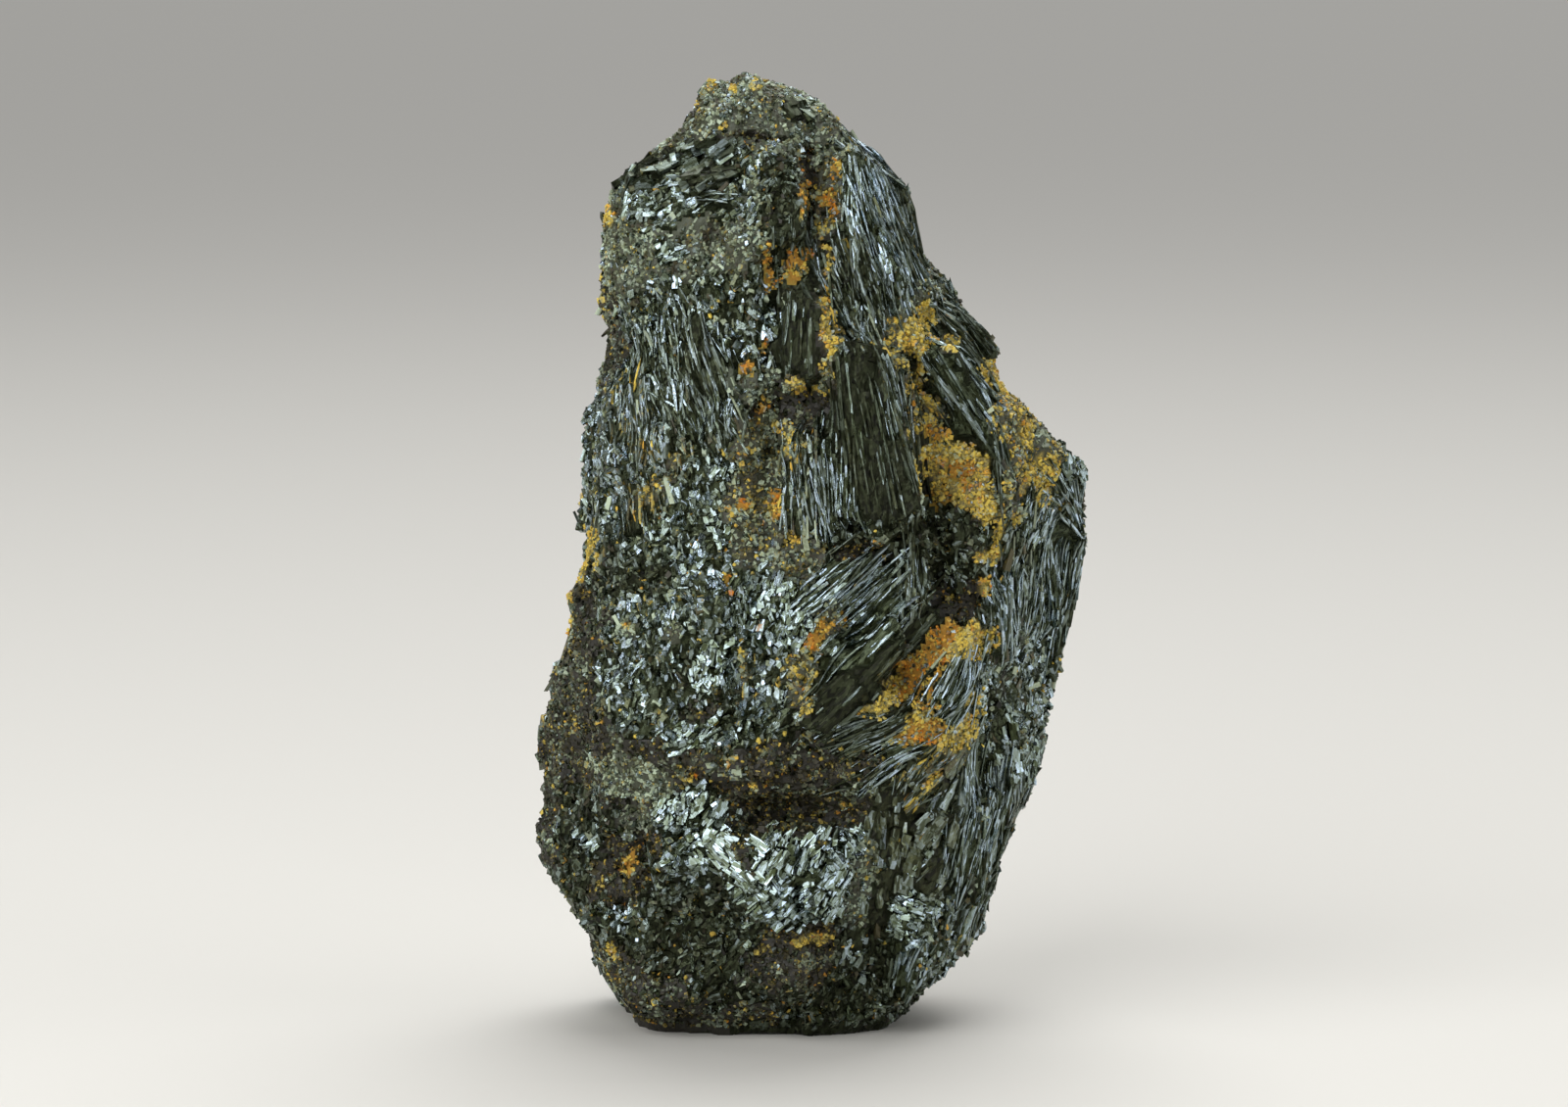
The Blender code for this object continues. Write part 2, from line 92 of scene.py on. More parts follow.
# How crystals grow. length and width are one crystal's, spread is how far it leans from its
# neighbours, tumble how far it tips out of the surface, and proud how far it stands out.
# lath, chip, plate, grain and crumb are the shares of each form. earth is tarnish on metal and
# brownness on gangue; oxide is how much ochre dusts it; rust turns ochre from yellow to orange;
# shade is its brightness. facing is how far its cleavage planes agree to face one of CLEAVAGES.
Habit = namedtuple(
    "Habit",
    "length width spread tumble proud lath chip plate grain crumb earth oxide rust shade facing",
)
HABITS = {
    "sheaf": Habit(5.5, 0.45, 4, 2.5, 0.28, 0.97, 0.02, 0, 0.01, 0, 0.16, 0.05, 0.2, 1, 0.55),
    "dull_sheaf": Habit(5.5, 0.48, 4, 2.5, 0.24, 0.94, 0.04, 0, 0.02, 0, 0.5, 0.07, 0.1, 0.66, 0.25),
    "blade": Habit(6.5, 1, 1.5, 0.8, 0.18, 1, 0, 0, 0, 0, 0.6, 0.03, 0.2, 0.42, 0.1),
    "bright_blade": Habit(5, 0.85, 1.5, 4, 0.34, 1, 0, 0, 0, 0, 0.1, 0.03, 0.2, 0.8, 0.85),
    "massive": Habit(1.25, 0.7, 34, 20, 0.18, 0.13, 0.7, 0.04, 0.12, 0.01, 0.26, 0.09, 0.1, 0.88, 0.55),
    "dark_massive": Habit(1.15, 0.68, 40, 22, 0.16, 0.08, 0.81, 0, 0.1, 0.01, 0.5, 0.06, 0.2, 0.4, 0.3),
    "slanted": Habit(2.8, 0.46, 12, 8, 0.2, 0.74, 0.16, 0, 0.09, 0.01, 0.36, 0.07, 0.1, 0.7, 0.35),
    "bright": Habit(1.4, 0.75, 22, 10, 0.22, 0.14, 0.36, 0.5, 0, 0, 0.04, 0.02, 0.2, 0.66, 0.8),
    "dark_plate": Habit(2.6, 1.7, 14, 4, 0.14, 0, 0.1, 0.88, 0.02, 0, 0.6, 0.03, 0.1, 0.36, 0),
    "bright_plate": Habit(3.2, 1.6, 6, 2.5, 0.14, 0, 0.06, 0.94, 0, 0, 0.1, 0, 0.1, 0.46, 0.92),
    "rosette": Habit(2.4, 0.85, 7, 5, 0.24, 0.26, 0.04, 0.7, 0, 0, 0, 0, 0.1, 0.7, 0.85),
    "film": Habit(3.6, 1.3, 5, 3, 0.1, 0.3, 0.02, 0.66, 0.02, 0, 1, 0.06, 0, 1, 0.45),
    "gangue": Habit(0.62, 0.5, 60, 40, 0.18, 0, 0.22, 0, 0.775, 0.005, 0.24, 0.08, 0, 0.8, 0.1),
    "dark_gangue": Habit(0.64, 0.52, 60, 40, 0.17, 0, 0.25, 0, 0.73, 0.02, 0.55, 0.08, 0.2, 0.42, 0),
    "dusted": Habit(0.72, 0.58, 60, 40, 0.22, 0.1, 0.22, 0, 0.5, 0.18, 0.3, 0.22, 0.05, 0.66, 0),
    "brown": Habit(0.68, 0.55, 60, 40, 0.2, 0, 0.24, 0, 0.73, 0.03, 0.34, 0.15, 0.2, 0.95, 0.1),
    "dark_brown": Habit(0.68, 0.55, 60, 40, 0.2, 0, 0.22, 0, 0.76, 0.02, 0.66, 0.12, 0.2, 0.32, 0),
    "ochre": Habit(0.54, 0.46, 60, 40, 0.26, 0.04, 0.26, 0, 0.38, 0.32, 0.34, 0.36, 0.04, 1, 0.2),
    "orange": Habit(0.52, 0.45, 60, 40, 0.24, 0.03, 0.23, 0, 0.28, 0.46, 0.62, 0.28, 0.6, 0.84, 0),
    "streaked": Habit(3.6, 0.48, 5, 4, 0.2, 0.74, 0.05, 0, 0.14, 0.07, 0.35, 0.14, 0.1, 0.66, 0.3),
    "tinted": Habit(3, 0.45, 8, 4, 0.18, 0.74, 0.06, 0, 0.17, 0.03, 0.5, 0.18, 0.05, 0.84, 0.3),
    "cream": Habit(1.4, 1, 60, 12, 0.2, 0, 0.2, 0, 0.8, 0, 0.15, 0.15, 0, 0.85, 0),
    "quartz": Habit(0.9, 0.8, 60, 40, 0.3, 0, 0.06, 0, 0.94, 0, 0, 0, 0, 1, 0),
    # The hollows' grains are brown, and their low shade is painted shade of the recesses.
    "hollow": Habit(0.7, 0.55, 60, 30, 0.06, 0, 0.4, 0, 0.57, 0.03, 0.85, 0.15, 0.5, 0.14, 0),
}

# What grows where on the front face: ovals painted one over another, each leaning turn degrees
# clockwise, whose crystals lean by lean degrees clockwise from upright.
Patch = namedtuple("Patch", "habit x z half_width half_height turn lean", defaults=(0, 0))
FRONT = [Patch(*row) for row in (
    # top knob and upper left
    ("gangue", -2, 125, 11, 8, 10, 20),
    ("dark_plate", 2.3, 124.6, 1.3, 2, -20, -10),
    ("ochre", -9.9, 128.6, 0.8, 1.6, 10),
    ("ochre", -6.8, 127.9, 0.6, 0.6),
    ("ochre", -3.7, 128.2, 0.9, 0.5),
    ("ochre", -12.1, 125, 0.5, 1.3, 20),
    ("ochre", -8, 122.6, 0.4, 0.8, 30),
    ("quartz", 6.3, 125.2, 1.2, 1),
    ("gangue", -15, 120, 7, 3.6, -38),
    ("hollow", -2.6, 121.6, 3.2, 0.8, 12),
    ("orange", -5, 119.8, 0.5, 0.9, 10),
    ("massive", -14, 112, 7, 6, 0, 70),
    ("dark_plate", -18.6, 116.4, 3, 1.9, 10, 70),
    ("dark_plate", -11.2, 118, 4.2, 3, 0, 60),
    ("gangue", -4.5, 114.6, 2.2, 4.6),
    ("massive", -7, 111.2, 3.6, 3, 0, 30),
    ("slanted", -9, 113.4, 2.6, 1.2, 5, 86),
    ("bright", -18.7, 111.6, 3, 2.5, -10, 60),
    ("bright", -12.6, 112.6, 1.6, 0.9, 0, 60),
    ("gangue", -23, 112.2, 1.6, 3),
    ("ochre", -23.9, 110.6, 1, 1.3),
    ("cream", -12.6, 109.8, 2.3, 1.3, -30, 30),
    ("gangue", -18, 105, 6.6, 4.6),
    ("gangue", -8, 107.6, 5.2, 3.6, -20),
    ("bright", -15.6, 106, 1.6, 1.1, -20, 60),
    ("dark_massive", -15.6, 107.2, 1.6, 0.5, 0, 60),
    ("massive", -5, 118, 2.2, 1.6),
    ("massive", 0, 117.6, 3.6, 2.4),
    # the dark column, the cleft beside it and the orange in it
    ("dark_massive", 0, 112.8, 3.6, 6.6, 0, 4),
    ("dull_sheaf", 1.2, 108, 2.2, 3.4, -4),
    ("hollow", 3.2, 115.6, 1, 4.6, -6),
    ("orange", 3, 113.2, 0.55, 2.3, -4),
    ("brown", 5.9, 113.8, 1.1, 5.4, -3),
    ("orange", 5.9, 112.4, 0.6, 2.6, -3),
    ("orange", 6.7, 118, 0.8, 1),
    ("gangue", 6.8, 121.4, 1.4, 2.8),
    ("orange", 1.6, 104.6, 0.8, 2.6, 45),
    ("orange", -2, 105.4, 0.55, 1.7, -5),
    ("orange", -2.4, 101.2, 0.5, 0.9),
    # upper right column
    ("sheaf", 11, 114, 4.2, 6, -8, -8),
    ("sheaf", 13.2, 105.6, 5, 9, -14, -14),
    ("dull_sheaf", 17, 110, 2, 9, -14, -17),
    ("dull_sheaf", 10, 103, 2.8, 6.4, -18, -19),
    ("slanted", 7, 101, 2.4, 3.6, -10, -20),
    ("slanted", 11.8, 97.4, 3.4, 2.6, -10, -18),
    ("ochre", 5.6, 102.6, 0.5, 3.4, -14),
    ("gangue", 4.4, 99, 2.4, 1.5, 20),
    # left band
    ("dark_gangue", -21.5, 98.6, 3.6, 5.6),
    ("gangue", -21.6, 103.4, 3.2, 4.6),
    ("massive", -14.6, 97.8, 8.6, 5, 0, -15),
    ("slanted", -12.6, 90, 7.6, 8.4, -15, -18),
    ("dull_sheaf", -10.6, 92, 2.2, 7.6, -16, -18),
    ("dark_gangue", -23.8, 92, 2.2, 6),
    ("massive", -21, 82.4, 4.6, 8.6, 0, -10),
    ("tinted", -20, 84, 3.2, 6.4, -8, -10),
    ("massive", -4.6, 96.8, 2.6, 6.4, 0, -10),
    ("quartz", -7.2, 89.9, 0.9, 1.7, -10),
    ("gangue", -4.2, 88.6, 2, 1.9),
    ("orange", -4.6, 91, 1, 1.1),
    ("orange", -2.5, 94.6, 0.5, 1.4),
    ("hollow", -4.2, 86, 1.6, 1.1, -30),
    ("orange", -2.8, 86.6, 0.6, 1),
    ("orange", -2, 83.8, 1.3, 0.8, 15),
    ("bright", -9, 74.4, 2.8, 4.6, -5, -12),
    ("massive", -13.6, 75.4, 3.6, 6.6, 0, -12),
    ("tinted", -14.4, 78.6, 3.8, 1.2, -28, -12),
    ("tinted", -19.2, 73.6, 5.8, 2, -45, -12),
    ("dusted", -16.8, 76.6, 5, 1.1, -42),
    ("massive", -24, 75, 2.2, 7.4, 0, -5),
    # brown granular middle
    ("gangue", -0.6, 80.8, 3.2, 5, 0, -5),
    ("brown", -4.6, 76.6, 2.9, 7.2),
    ("streaked", 2.6, 80.4, 3.2, 7.4, -8, -8),
    ("dusted", 0.6, 82.6, 1, 4.6, -8, -8),
    ("brown", 0, 67.4, 6, 2.6, 5),
    ("ochre", 1.6, 68.9, 1.1, 0.6),
    ("orange", -5.4, 73.2, 0.7, 0.9),
    ("orange", -1.2, 74, 0.8, 1.8, 10),
    ("orange", -7, 63.4, 0.5, 1.8, -8),
    # the oval blade and the main blades
    ("dark_gangue", 2.6, 86.6, 4, 3.2),
    ("blade", 2.5, 95, 3.1, 5.9, -3, -3),
    ("ochre", 2.9, 88.5, 2.9, 0.9),
    ("dusted", 5.9, 95, 1.1, 5.4, -3),
    ("ochre", 5.5, 96.6, 0.7, 3.4, -3),
    ("brown", 5.6, 90.4, 0.7, 2),
    ("massive", 9, 93.6, 2.2, 1.9),
    ("blade", 12.2, 83, 5.2, 12.4, -11, -11),
    ("dull_sheaf", 13.8, 88.4, 2.2, 5.6, -11, -12),
    ("dark_massive", 17.5, 89.6, 0.8, 6, -8),
    ("sheaf", 6, 76, 2.4, 7.4, -8, -8),
    ("dark_massive", 11.6, 69.6, 5.6, 2.2, -10, -8),
    ("hollow", 10.6, 67.6, 3.4, 1.1, 5),
    ("dull_sheaf", 17.4, 66.4, 1.5, 6.4, -3, -3),
    ("bright", 16.2, 67, 0.6, 1.6, 20, 20),
    # right: ochre bed and the free blade
    ("gangue", 21, 100.6, 3.8, 3.2, 20),
    ("ochre", 16.6, 96.2, 3.2, 2.2),
    ("cream", 15.6, 98.4, 2.2, 1.2, -30),
    ("dusted", 14.8, 93.6, 1.6, 2.6, -20),
    ("ochre", 17.6, 93.8, 1, 2, -20),
    ("ochre", 18.2, 97.6, 2.2, 1.2, -40),
    ("dull_sheaf", 24.2, 95.4, 2.4, 5.2, -30, -30),
    ("dusted", 19.4, 85, 2, 6.8, -16),
    ("ochre", 19, 87.6, 0.9, 3.6, -20),
    ("ochre", 21, 80.4, 2.6, 3, -30),
    ("orange", 20, 82.6, 1.2, 1.8, -20),
    ("bright_blade", 24, 87.2, 2.6, 8.4, -33, -33),
    ("blade", 21.7, 86, 0.5, 7.6, -33, -33),
    ("ochre", 22.6, 94.4, 1.1, 0.9),
    ("ochre", 25.2, 75.4, 3.8, 3.6),
    ("orange", 21.4, 72.8, 1.3, 1.8),
    ("orange", 23.4, 77.4, 1.8, 1),
    ("dusted", 33, 83.6, 5.2, 5.4, -40),
    ("gangue", 35.6, 82, 2.4, 2.6, -40),
    ("ochre", 28.4, 89, 1.2, 2.8, -34),
    ("ochre", 31.2, 86.8, 1.6, 0.9, -30),
    ("ochre", 32.6, 81.8, 0.9, 1.8, 10),
    ("dull_sheaf", 29.2, 76, 1, 6.2, -8, -8),
    ("brown", 30.4, 73.4, 1, 4.4, 12),
    ("ochre", 29.4, 69, 0.8, 3.2, 14),
    ("ochre", 34.4, 75.6, 1.4, 3.2, 16),
    # right shoulder and flank
    ("bright", 39.8, 77.6, 1.9, 4.2, -8, -8),
    ("sheaf", 39.4, 71.2, 3.2, 3.8, -50, -50),
    ("slanted", 33.2, 69.8, 2.8, 3.6, 38, 36),
    ("dark_massive", 22, 68, 4, 5),
    ("hollow", 23.2, 61.8, 2.2, 1.8),
    ("dark_massive", 22.6, 64.2, 2.6, 1.8),
    ("ochre", 27.2, 65.9, 1.5, 1.1, 10),
    ("ochre", 27, 61.8, 1.1, 0.9),
    ("slanted", 31.8, 62, 3.4, 6.4, -4, -4),
    ("sheaf", 37, 60.6, 3.4, 8.2, 4, 3),
    ("sheaf", 30.4, 57.6, 2.2, 5.2, -6, -8),
    ("dull_sheaf", 39.6, 56.4, 1.1, 8.6, 8, 8),
    ("gangue", 32.8, 54.6, 0.8, 2.8, 16),
    ("massive", 33.2, 46, 4.8, 7, 6, 10),
    ("dark_massive", 29.4, 47, 1.1, 6.6, 3, 4),
    ("bright_plate", 29.6, 42.2, 0.9, 2.4),
    ("bright_plate", 29.9, 36.6, 1.8, 2.1),
    ("bright", 33.4, 35.2, 3.2, 2, 0, 20),
    # lower right flank
    ("sheaf", 27.6, 27, 3.2, 7.6, 10, 9),
    ("dull_sheaf", 31.2, 24, 2.2, 9, 12, 12),
    ("sheaf", 24.2, 24, 1.6, 9.4, 6, 8),
    ("massive", 23.4, 13.6, 3.6, 5.6, 16, 14),
    ("dull_sheaf", 25.6, 17, 2.4, 4.6, 14, 12),
    ("bright", 17.2, 17, 2.2, 2.4, 20, 108),
    ("bright_blade", 15.8, 8.8, 2.1, 4.4, 12, 12),
    ("film", 20.8, 23.2, 2.8, 2.3, 40, 40),
    ("bright", 19.2, 26.6, 0.5, 3.4, 34, 34),
    ("quartz", 26.9, 29.4, 0.45, 2.2),
    ("gangue", 25.5, 19.9, 0.5, 2.4, 2),
    ("film", 18.4, 34.6, 5.4, 4.4, 35, 40),
    ("tinted", 20.4, 38.6, 3.6, 1.6, -40, 42),
    ("tinted", 18.6, 34.4, 3.2, 1.5, -50, 42),
    ("ochre", 19.4, 36.2, 1.8, 0.7, -50),
    ("tinted", 15, 35, 1.2, 3, 10, 20),
    ("film", 14.2, 27.6, 2.4, 7.6, 5, 6),
    # centre: the diagonal blades and the ochre between them
    ("dull_sheaf", 10, 40, 8, 3.6, -28, 58),
    ("sheaf", 15, 39.8, 5, 1.8, -28, 60),
    ("sheaf", 8, 61.8, 5, 3.4, -40, 50),
    ("brown", 6, 58.6, 2.4, 2),
    ("orange", 4.6, 56.8, 1.1, 2.4, 28),
    ("orange", 8, 58.6, 0.9, 0.9),
    ("bright_blade", 10.2, 55.6, 8.2, 2.5, -45, 44),
    ("blade", 12.6, 51.6, 7.6, 1.7, -45, 45),
    ("blade", 6.2, 48.4, 4.6, 3.2, -45, 46),
    ("ochre", 24.4, 54.6, 2.6, 1.7),
    ("orange", 18.6, 52.6, 4, 1.8, -48),
    ("sheaf", 22.4, 49.6, 3.8, 3.6, 28, 27),
    ("bright", 26.4, 47.6, 0.8, 2.6, 10, 27),
    ("orange", 20, 50.6, 0.5, 3.6, 30),
    ("ochre", 13.2, 48, 2.8, 1.1, -45),
    ("ochre", 17.6, 44.2, 1.2, 4.4, 34),
    ("orange", 18.8, 43, 2.6, 1.8, -10),
    ("ochre", 23.4, 42.2, 2.2, 1.4, -40),
    ("ochre", 25.6, 46, 0.5, 3.6, 14),
    # left mass
    ("bright", -3.2, 61.2, 3, 3, 0, 10),
    ("bright", -0.6, 56.4, 2.3, 3.2),
    ("massive", -15, 61, 8.6, 6, 0, -10),
    ("dark_massive", -20, 63, 5.4, 3, 0, -30),
    ("massive", -14, 49.8, 8, 6.6, 0, 10),
    ("dark_massive", -12.6, 51.2, 2.6, 2.4, 0, 10),
    ("bright", -8.8, 51.6, 2.8, 3.4, 0, 12),
    ("massive", -2.6, 49, 4.2, 5.2, 0, 20),
    ("dusted", -5.4, 51.6, 0.9, 3),
    ("dusted", 2, 50, 1.8, 3.2),
    ("gangue", -20.6, 56.6, 1.6, 1.6),
    ("ochre", -20.9, 57, 0.6, 0.6),
    ("gangue", -14.4, 56.4, 1.4, 1.6),
    ("ochre", -26.6, 65.2, 1, 2.6, 22),
    ("dark_gangue", -28, 54, 2.8, 5.6, 25),
    ("dark_gangue", -30.6, 43.6, 3.4, 7, 5),
    ("dark_gangue", -23, 38.6, 7, 4.6),
    ("dark_brown", -26.4, 44.6, 1.5, 2.2),
    ("gangue", -21.4, 37, 5.2, 3, 0, 40),
    ("dark_gangue", -30.2, 32, 3, 5.6),
    ("bright", -12, 42.4, 3.8, 1.3, -28, 55),
    ("dark_brown", -11, 46, 3.6, 1),
    # the recess under it
    ("dark_brown", 0, 38.6, 12, 2.4, 2),
    ("hollow", -3, 36.6, 9, 1.5, 3),
    ("dark_gangue", 4, 34.6, 8, 1.6),
    ("cream", -8.6, 38.4, 2.6, 0.6, 28, 110),
    ("ochre", -3.8, 36, 0.6, 0.8),
    # rosettes
    ("dark_brown", 1, 32.4, 5.8, 3.6),
    ("dark_massive", -10, 24, 9, 5, 0, 40),
    ("bright", -13.6, 32.2, 2.6, 2, 10, 20),
    ("rosette", -10.2, 31, 2.6, 2.4, -20, 40),
    ("massive", -12, 26.2, 5.4, 3, 10, 50),
    ("rosette", -8.8, 27.6, 3.4, 2.4, 0, -50),
    ("bright", -12.4, 28.6, 2.2, 1.6, 0, 60),
    ("rosette", -3.6, 24.6, 3.4, 3.8, -35, -48),
    ("rosette", 1.2, 26.4, 4.6, 3, 20, 38),
    ("rosette", 1.6, 22.2, 4.8, 2.6, -15, 52),
    ("rosette", -2.6, 19.8, 3.6, 1.4, 30, 58),
    ("dark_brown", -5.4, 27.8, 0.7, 2.8, -25),
    ("bright", 8.6, 27.2, 1.9, 1.7, 0, -60),
    ("brown", 11.4, 25, 1, 3.2),
    ("gangue", 10.4, 22.4, 1.6, 3.2),
    ("hollow", -20.6, 24.6, 3.4, 4.4, 30),
    ("dark_brown", -21, 24, 2.2, 3.4, 30),
    ("orange", -20.4, 24.4, 1.2, 2.6, 30),
    ("dark_brown", -23.6, 21.6, 2, 2),
    ("dark_massive", -27.6, 28.6, 3.2, 5.2),
    ("bright", -26.8, 26.6, 1.6, 0.6, 20, 60),
    ("gangue", -19.6, 30.6, 2.6, 1.8, -30),
    # foot
    ("dark_massive", -13, 14.8, 8.6, 5.2, -8, 30),
    ("massive", -20.4, 15.6, 2.8, 3, 0, 20),
    ("gangue", -12.6, 19.6, 0.7, 2.2, 40),
    ("dark_brown", -20, 5.6, 6.6, 4.6),
    ("dark_gangue", -18.6, 6.6, 5, 3.2),
    ("ochre", -23.4, 11.2, 0.5, 1),
    ("dark_massive", 3, 5, 12, 4, 0, 20),
    ("dark_brown", 1.4, 10.6, 6, 3.8),
    ("dark_gangue", 2, 9.8, 4.6, 2.8),
    ("ochre", 4.2, 14.4, 2.2, 0.6, 5),
    ("dark_massive", 10, 8, 3.4, 5.4, 0, 10),
    ("dark_gangue", -6, 3.4, 5, 1.8),
)]

# The sides and the back: habits drawn in turn for patches about this far apart.
REAR_HABITS = (
    "dull_sheaf", "gangue", "massive", "sheaf", "dark_gangue", "massive", "blade", "dark_massive",
    "gangue", "slanted", "bright", "brown", "dull_sheaf", "massive", "ochre", "dark_gangue",
)
REAR_PATCH_MM = 11.0
REAR_COARSENESS = 1.45  # crystals of the sides and back are this much larger
REAR_WARP = 0.12
REAR_WARP_MM = 1.6
REAR_STRETCH = (1, 1, 0.45)  # rear patches are taller than wide
REAR_LEAN = 28.0
FRONT_FACING = 0.12  # how squarely a face looks forward before the front table rules it
TOP_AS_FRONT = 0.6  # upward faces follow the front table too

# The wander of patches' edges: size of its features and how far it goes, coarse then fine.
WARPS_MM = ((3.2, 2.2), (1.1, 1.0))
SMALL_PATCH_MM = 5.0  # patches smaller than this, width and height together, wander less
PATCH_APART_MM = 7.3  # sets neighbouring patches' patterns apart

# The ground mass.
RIDGE_MM = (0.9, 0.9, 9.0)  # ridges under the laths: their spacing, and how long they run
RIDGE_LEVEL = 0.45  # how much of a ridge's height stands over the skin
FACE_MM = 1.9  # size of the broken faces
LUMP_MM = 1.3  # size of the lumps under the grains
CELL_SCRAMBLE = 7.3  # spreads neighbouring cells' tilts apart
HOLLOW_SHADE = 0.2  # a habit darker than this grows in a hollow
FOOT_MM, FOOT_FADE_MM = 0.3, 1.5  # the skin stays smooth up to here, and is rough this far above
GROUND_TARNISH = 0.15  # the ground is this much more tarnished than its crystals
GROUND_ROUNDS, SKIN_ROUNDS = 6, 10  # rounds of softening of the ground's and the seats' normals

# Where crystals sit.
SEED_TRIES = 150000
FOOT_CLEAR_MM = 1.0  # none sits lower than this
UNDERSIDE = -0.95  # nor where the skin faces straight down
FLOOR_GAP_MM = 0.05  # and none comes nearer to the floor than this

# How crystals lie.
SIZE_MIDDLE, SIZE_SPREAD, SMALLEST = -0.09, 0.42, 0.35  # sizes, beside the usual, on a log scale
LEAST_WIDTH_MM = 0.5  # a narrower crystal is as deep as one of this width
PROUD_RANGE = (0.2, 1.6)  # how much crystals differ in how far they stand out
CLEAVAGES = np.array((
    (-0.30, -0.88, 0.36),  # on the front: forward, a little left and up
    (0.59, -0.77, 0.24),  # on the right flank: forward and right
))
CLEAVED_FROM, CLEAVED_FADE = 0.2, 0.15  # how near to one a face turns before its crystals agree
DOMAIN_MM = 4.0  # chips tilt together in domains about this size
DOMAIN_TILT = 0.8
REAR_DOMAIN_TILT = 0.5

# How laths bed, and which crystals are left out for standing clear of the skin.
LATH_STEPS = 4
BED_STATIONS = np.linspace(-0.45, 0.45, 5)  # where along a lath its bed is felt for
FEEL_ABOVE_MM, FEEL_BELOW_MM = 2.5, 5.0
MOST_CLIMB = 0.22  # a lath climbs at most this share of its length
BED_MISFIT_MM = 0.6  # and lies this close to the skin under it
MOST_TIP = 7.0  # degrees that a lath may tip out of its bed
STUB_MM, STUB_SHARE = 1.3, 0.35  # most length of a lath that has no level bed
END = 0.4  # the ends of a crystal lie further than this from its middle, as a share
MOST_GAP_MM = 1.3  # how far from the skin they may be

# How finishes vary, and where painted shade darkens them.
FINISH_JITTER = (0.18, 0.06, 0.24, 0.24)  # how crystals differ in earth, oxide, rust, shade
GAP_OCHRE_AND_PAINTED_SHADE = (0, 1.3, 0, -0.92)  # how the foot of a crystal differs, as a share: more ochre lies there, and painted shade darkens it
TONE_MM = 5.0  # size of lighter and darker areas
TONE = 0.9
STAIN_MM = 2.6  # size of ochre stains and of mottling in the gangue
STAIN_FROM = 0.08
MOTTLE = 0.7
PATTERN_SHIFT_MM = 60.0  # each crystal's pattern is shifted by up to this, so no two look alike


def linear(hex_colour):
    """An sRGB hex colour as linear RGBA."""
    channels = [int(hex_colour[i:i + 2], 16) / 255 for i in (1, 3, 5)]
    return [c / 12.92 if c <= 0.04045 else ((c + 0.055) / 1.055) ** 2.4 for c in channels] + [1.0]


def colour(name, words, hex_colour):
    """A colour property of the add-on."""
    return FloatVectorProperty(
        name=name, description=words, subtype="COLOR", size=4, min=0, max=1,
        default=linear(hex_colour),
    )


def number(name, words, default, low=0.0, high=2.0, **more):
    """A number property of the add-on."""
    return FloatProperty(
        name=name, description=words, default=default, min=low, max=high, **more
    )


class GroundSettings(bpy.types.PropertyGroup):
    """The rough ground mass. Its sizes are in millimetres."""

    voxel: number("Skin grid", "Grid on which the solid's skin is rebuilt, in mm", 0.64, 0.4, 3.0)
    inset: number("Inset", "How far the ground lies under the solid's skin, in mm", 0.4, high=1.5)
    hollows: number("Hollows", "How much deeper the hollows are sunk, in mm", 0.8)
    ridges: number("Ridges", "Height of the ridges under the laths, in mm", 0.6)
    faces: number("Broken faces", "How steeply the broken faces are tilted", 0.8)
    lumps: number("Lumps", "Height of the lumps under the grains, in mm", 0.5)
    # The ground shows only between the crystals; its dimness is painted shade in those gaps.
    painted_gap_dimness: number("Dimness", "Brightness of the ground beside the crystals", 0.14, high=1.0)


class CrystalSettings(bpy.types.PropertyGroup):
    """How many crystals there are, and of how many shapes."""

    cover: number("Cover", "How many times over the crystals cover the ground", 1.5, 0.2, 3.0)
    variants: IntProperty(
        name="Shapes", description="How many different broken shapes each form has",
        default=8, min=1, max=20,
    )


class ColourSettings(bpy.types.PropertyGroup):
    """Colours of the minerals and of the floor."""

    fresh: colour("Fresh cleavage", "Freshly cleaved stibnite", "#A9BBC3")
    tarnish: colour("Tarnished cleavage", "Stibnite dulled by a thin oxide film", "#5F6549")
    gangue_pale: colour("Pale gangue", "Quartz and clay grains", "#B0BFA6")
    gangue_olive: colour("Olive gangue", "Grains stained by antimony oxide", "#747C5B")
    gangue_brown: colour("Brown gangue", "Grains stained by iron", "#3F3A1E")
    ochre: colour("Ochre", "Earthy antimony ochre", "#DCC356")
    rust: colour("Orange ochre", "Ochre stained by iron", "#D07E1C")
    floor: colour("Floor", "The stage under the specimen", "#D9D7D1")


def feed(tree, node, inputs):
    """Fills a node's inputs with values, or with links from other nodes' output sockets."""
    for key, value in inputs.items():
        if isinstance(value, bpy.types.NodeSocket):
            tree.links.new(value, node.inputs[key])
        else:
            node.inputs[key].default_value = value


def add_node(tree, kind, inputs, out=0, **settings):
    """Adds a node with its settings and its inputs, and gives the output asked for."""
    made = tree.nodes.new(kind)
    for name, value in settings.items():
        setattr(made, name, value)
    feed(tree, made, inputs)
    return made.outputs[out]


def new_material(name):
    material = bpy.data.materials.new(name)
    material.use_nodes = True
    tree = material.node_tree
    return material, tree, tree.nodes["Principled BSDF"]


MIX_FACTOR, MIX_A, MIX_B, MIX_RESULT = 0, 6, 7, 2  # sockets of a Mix node set to colour

# What every crystal's material reads: its axes, its blotches and the parts of its finish, its painted
# shade among them.
Surface = namedtuple("Surface", "material tree shader crystal blotch earth oxide rust shade")


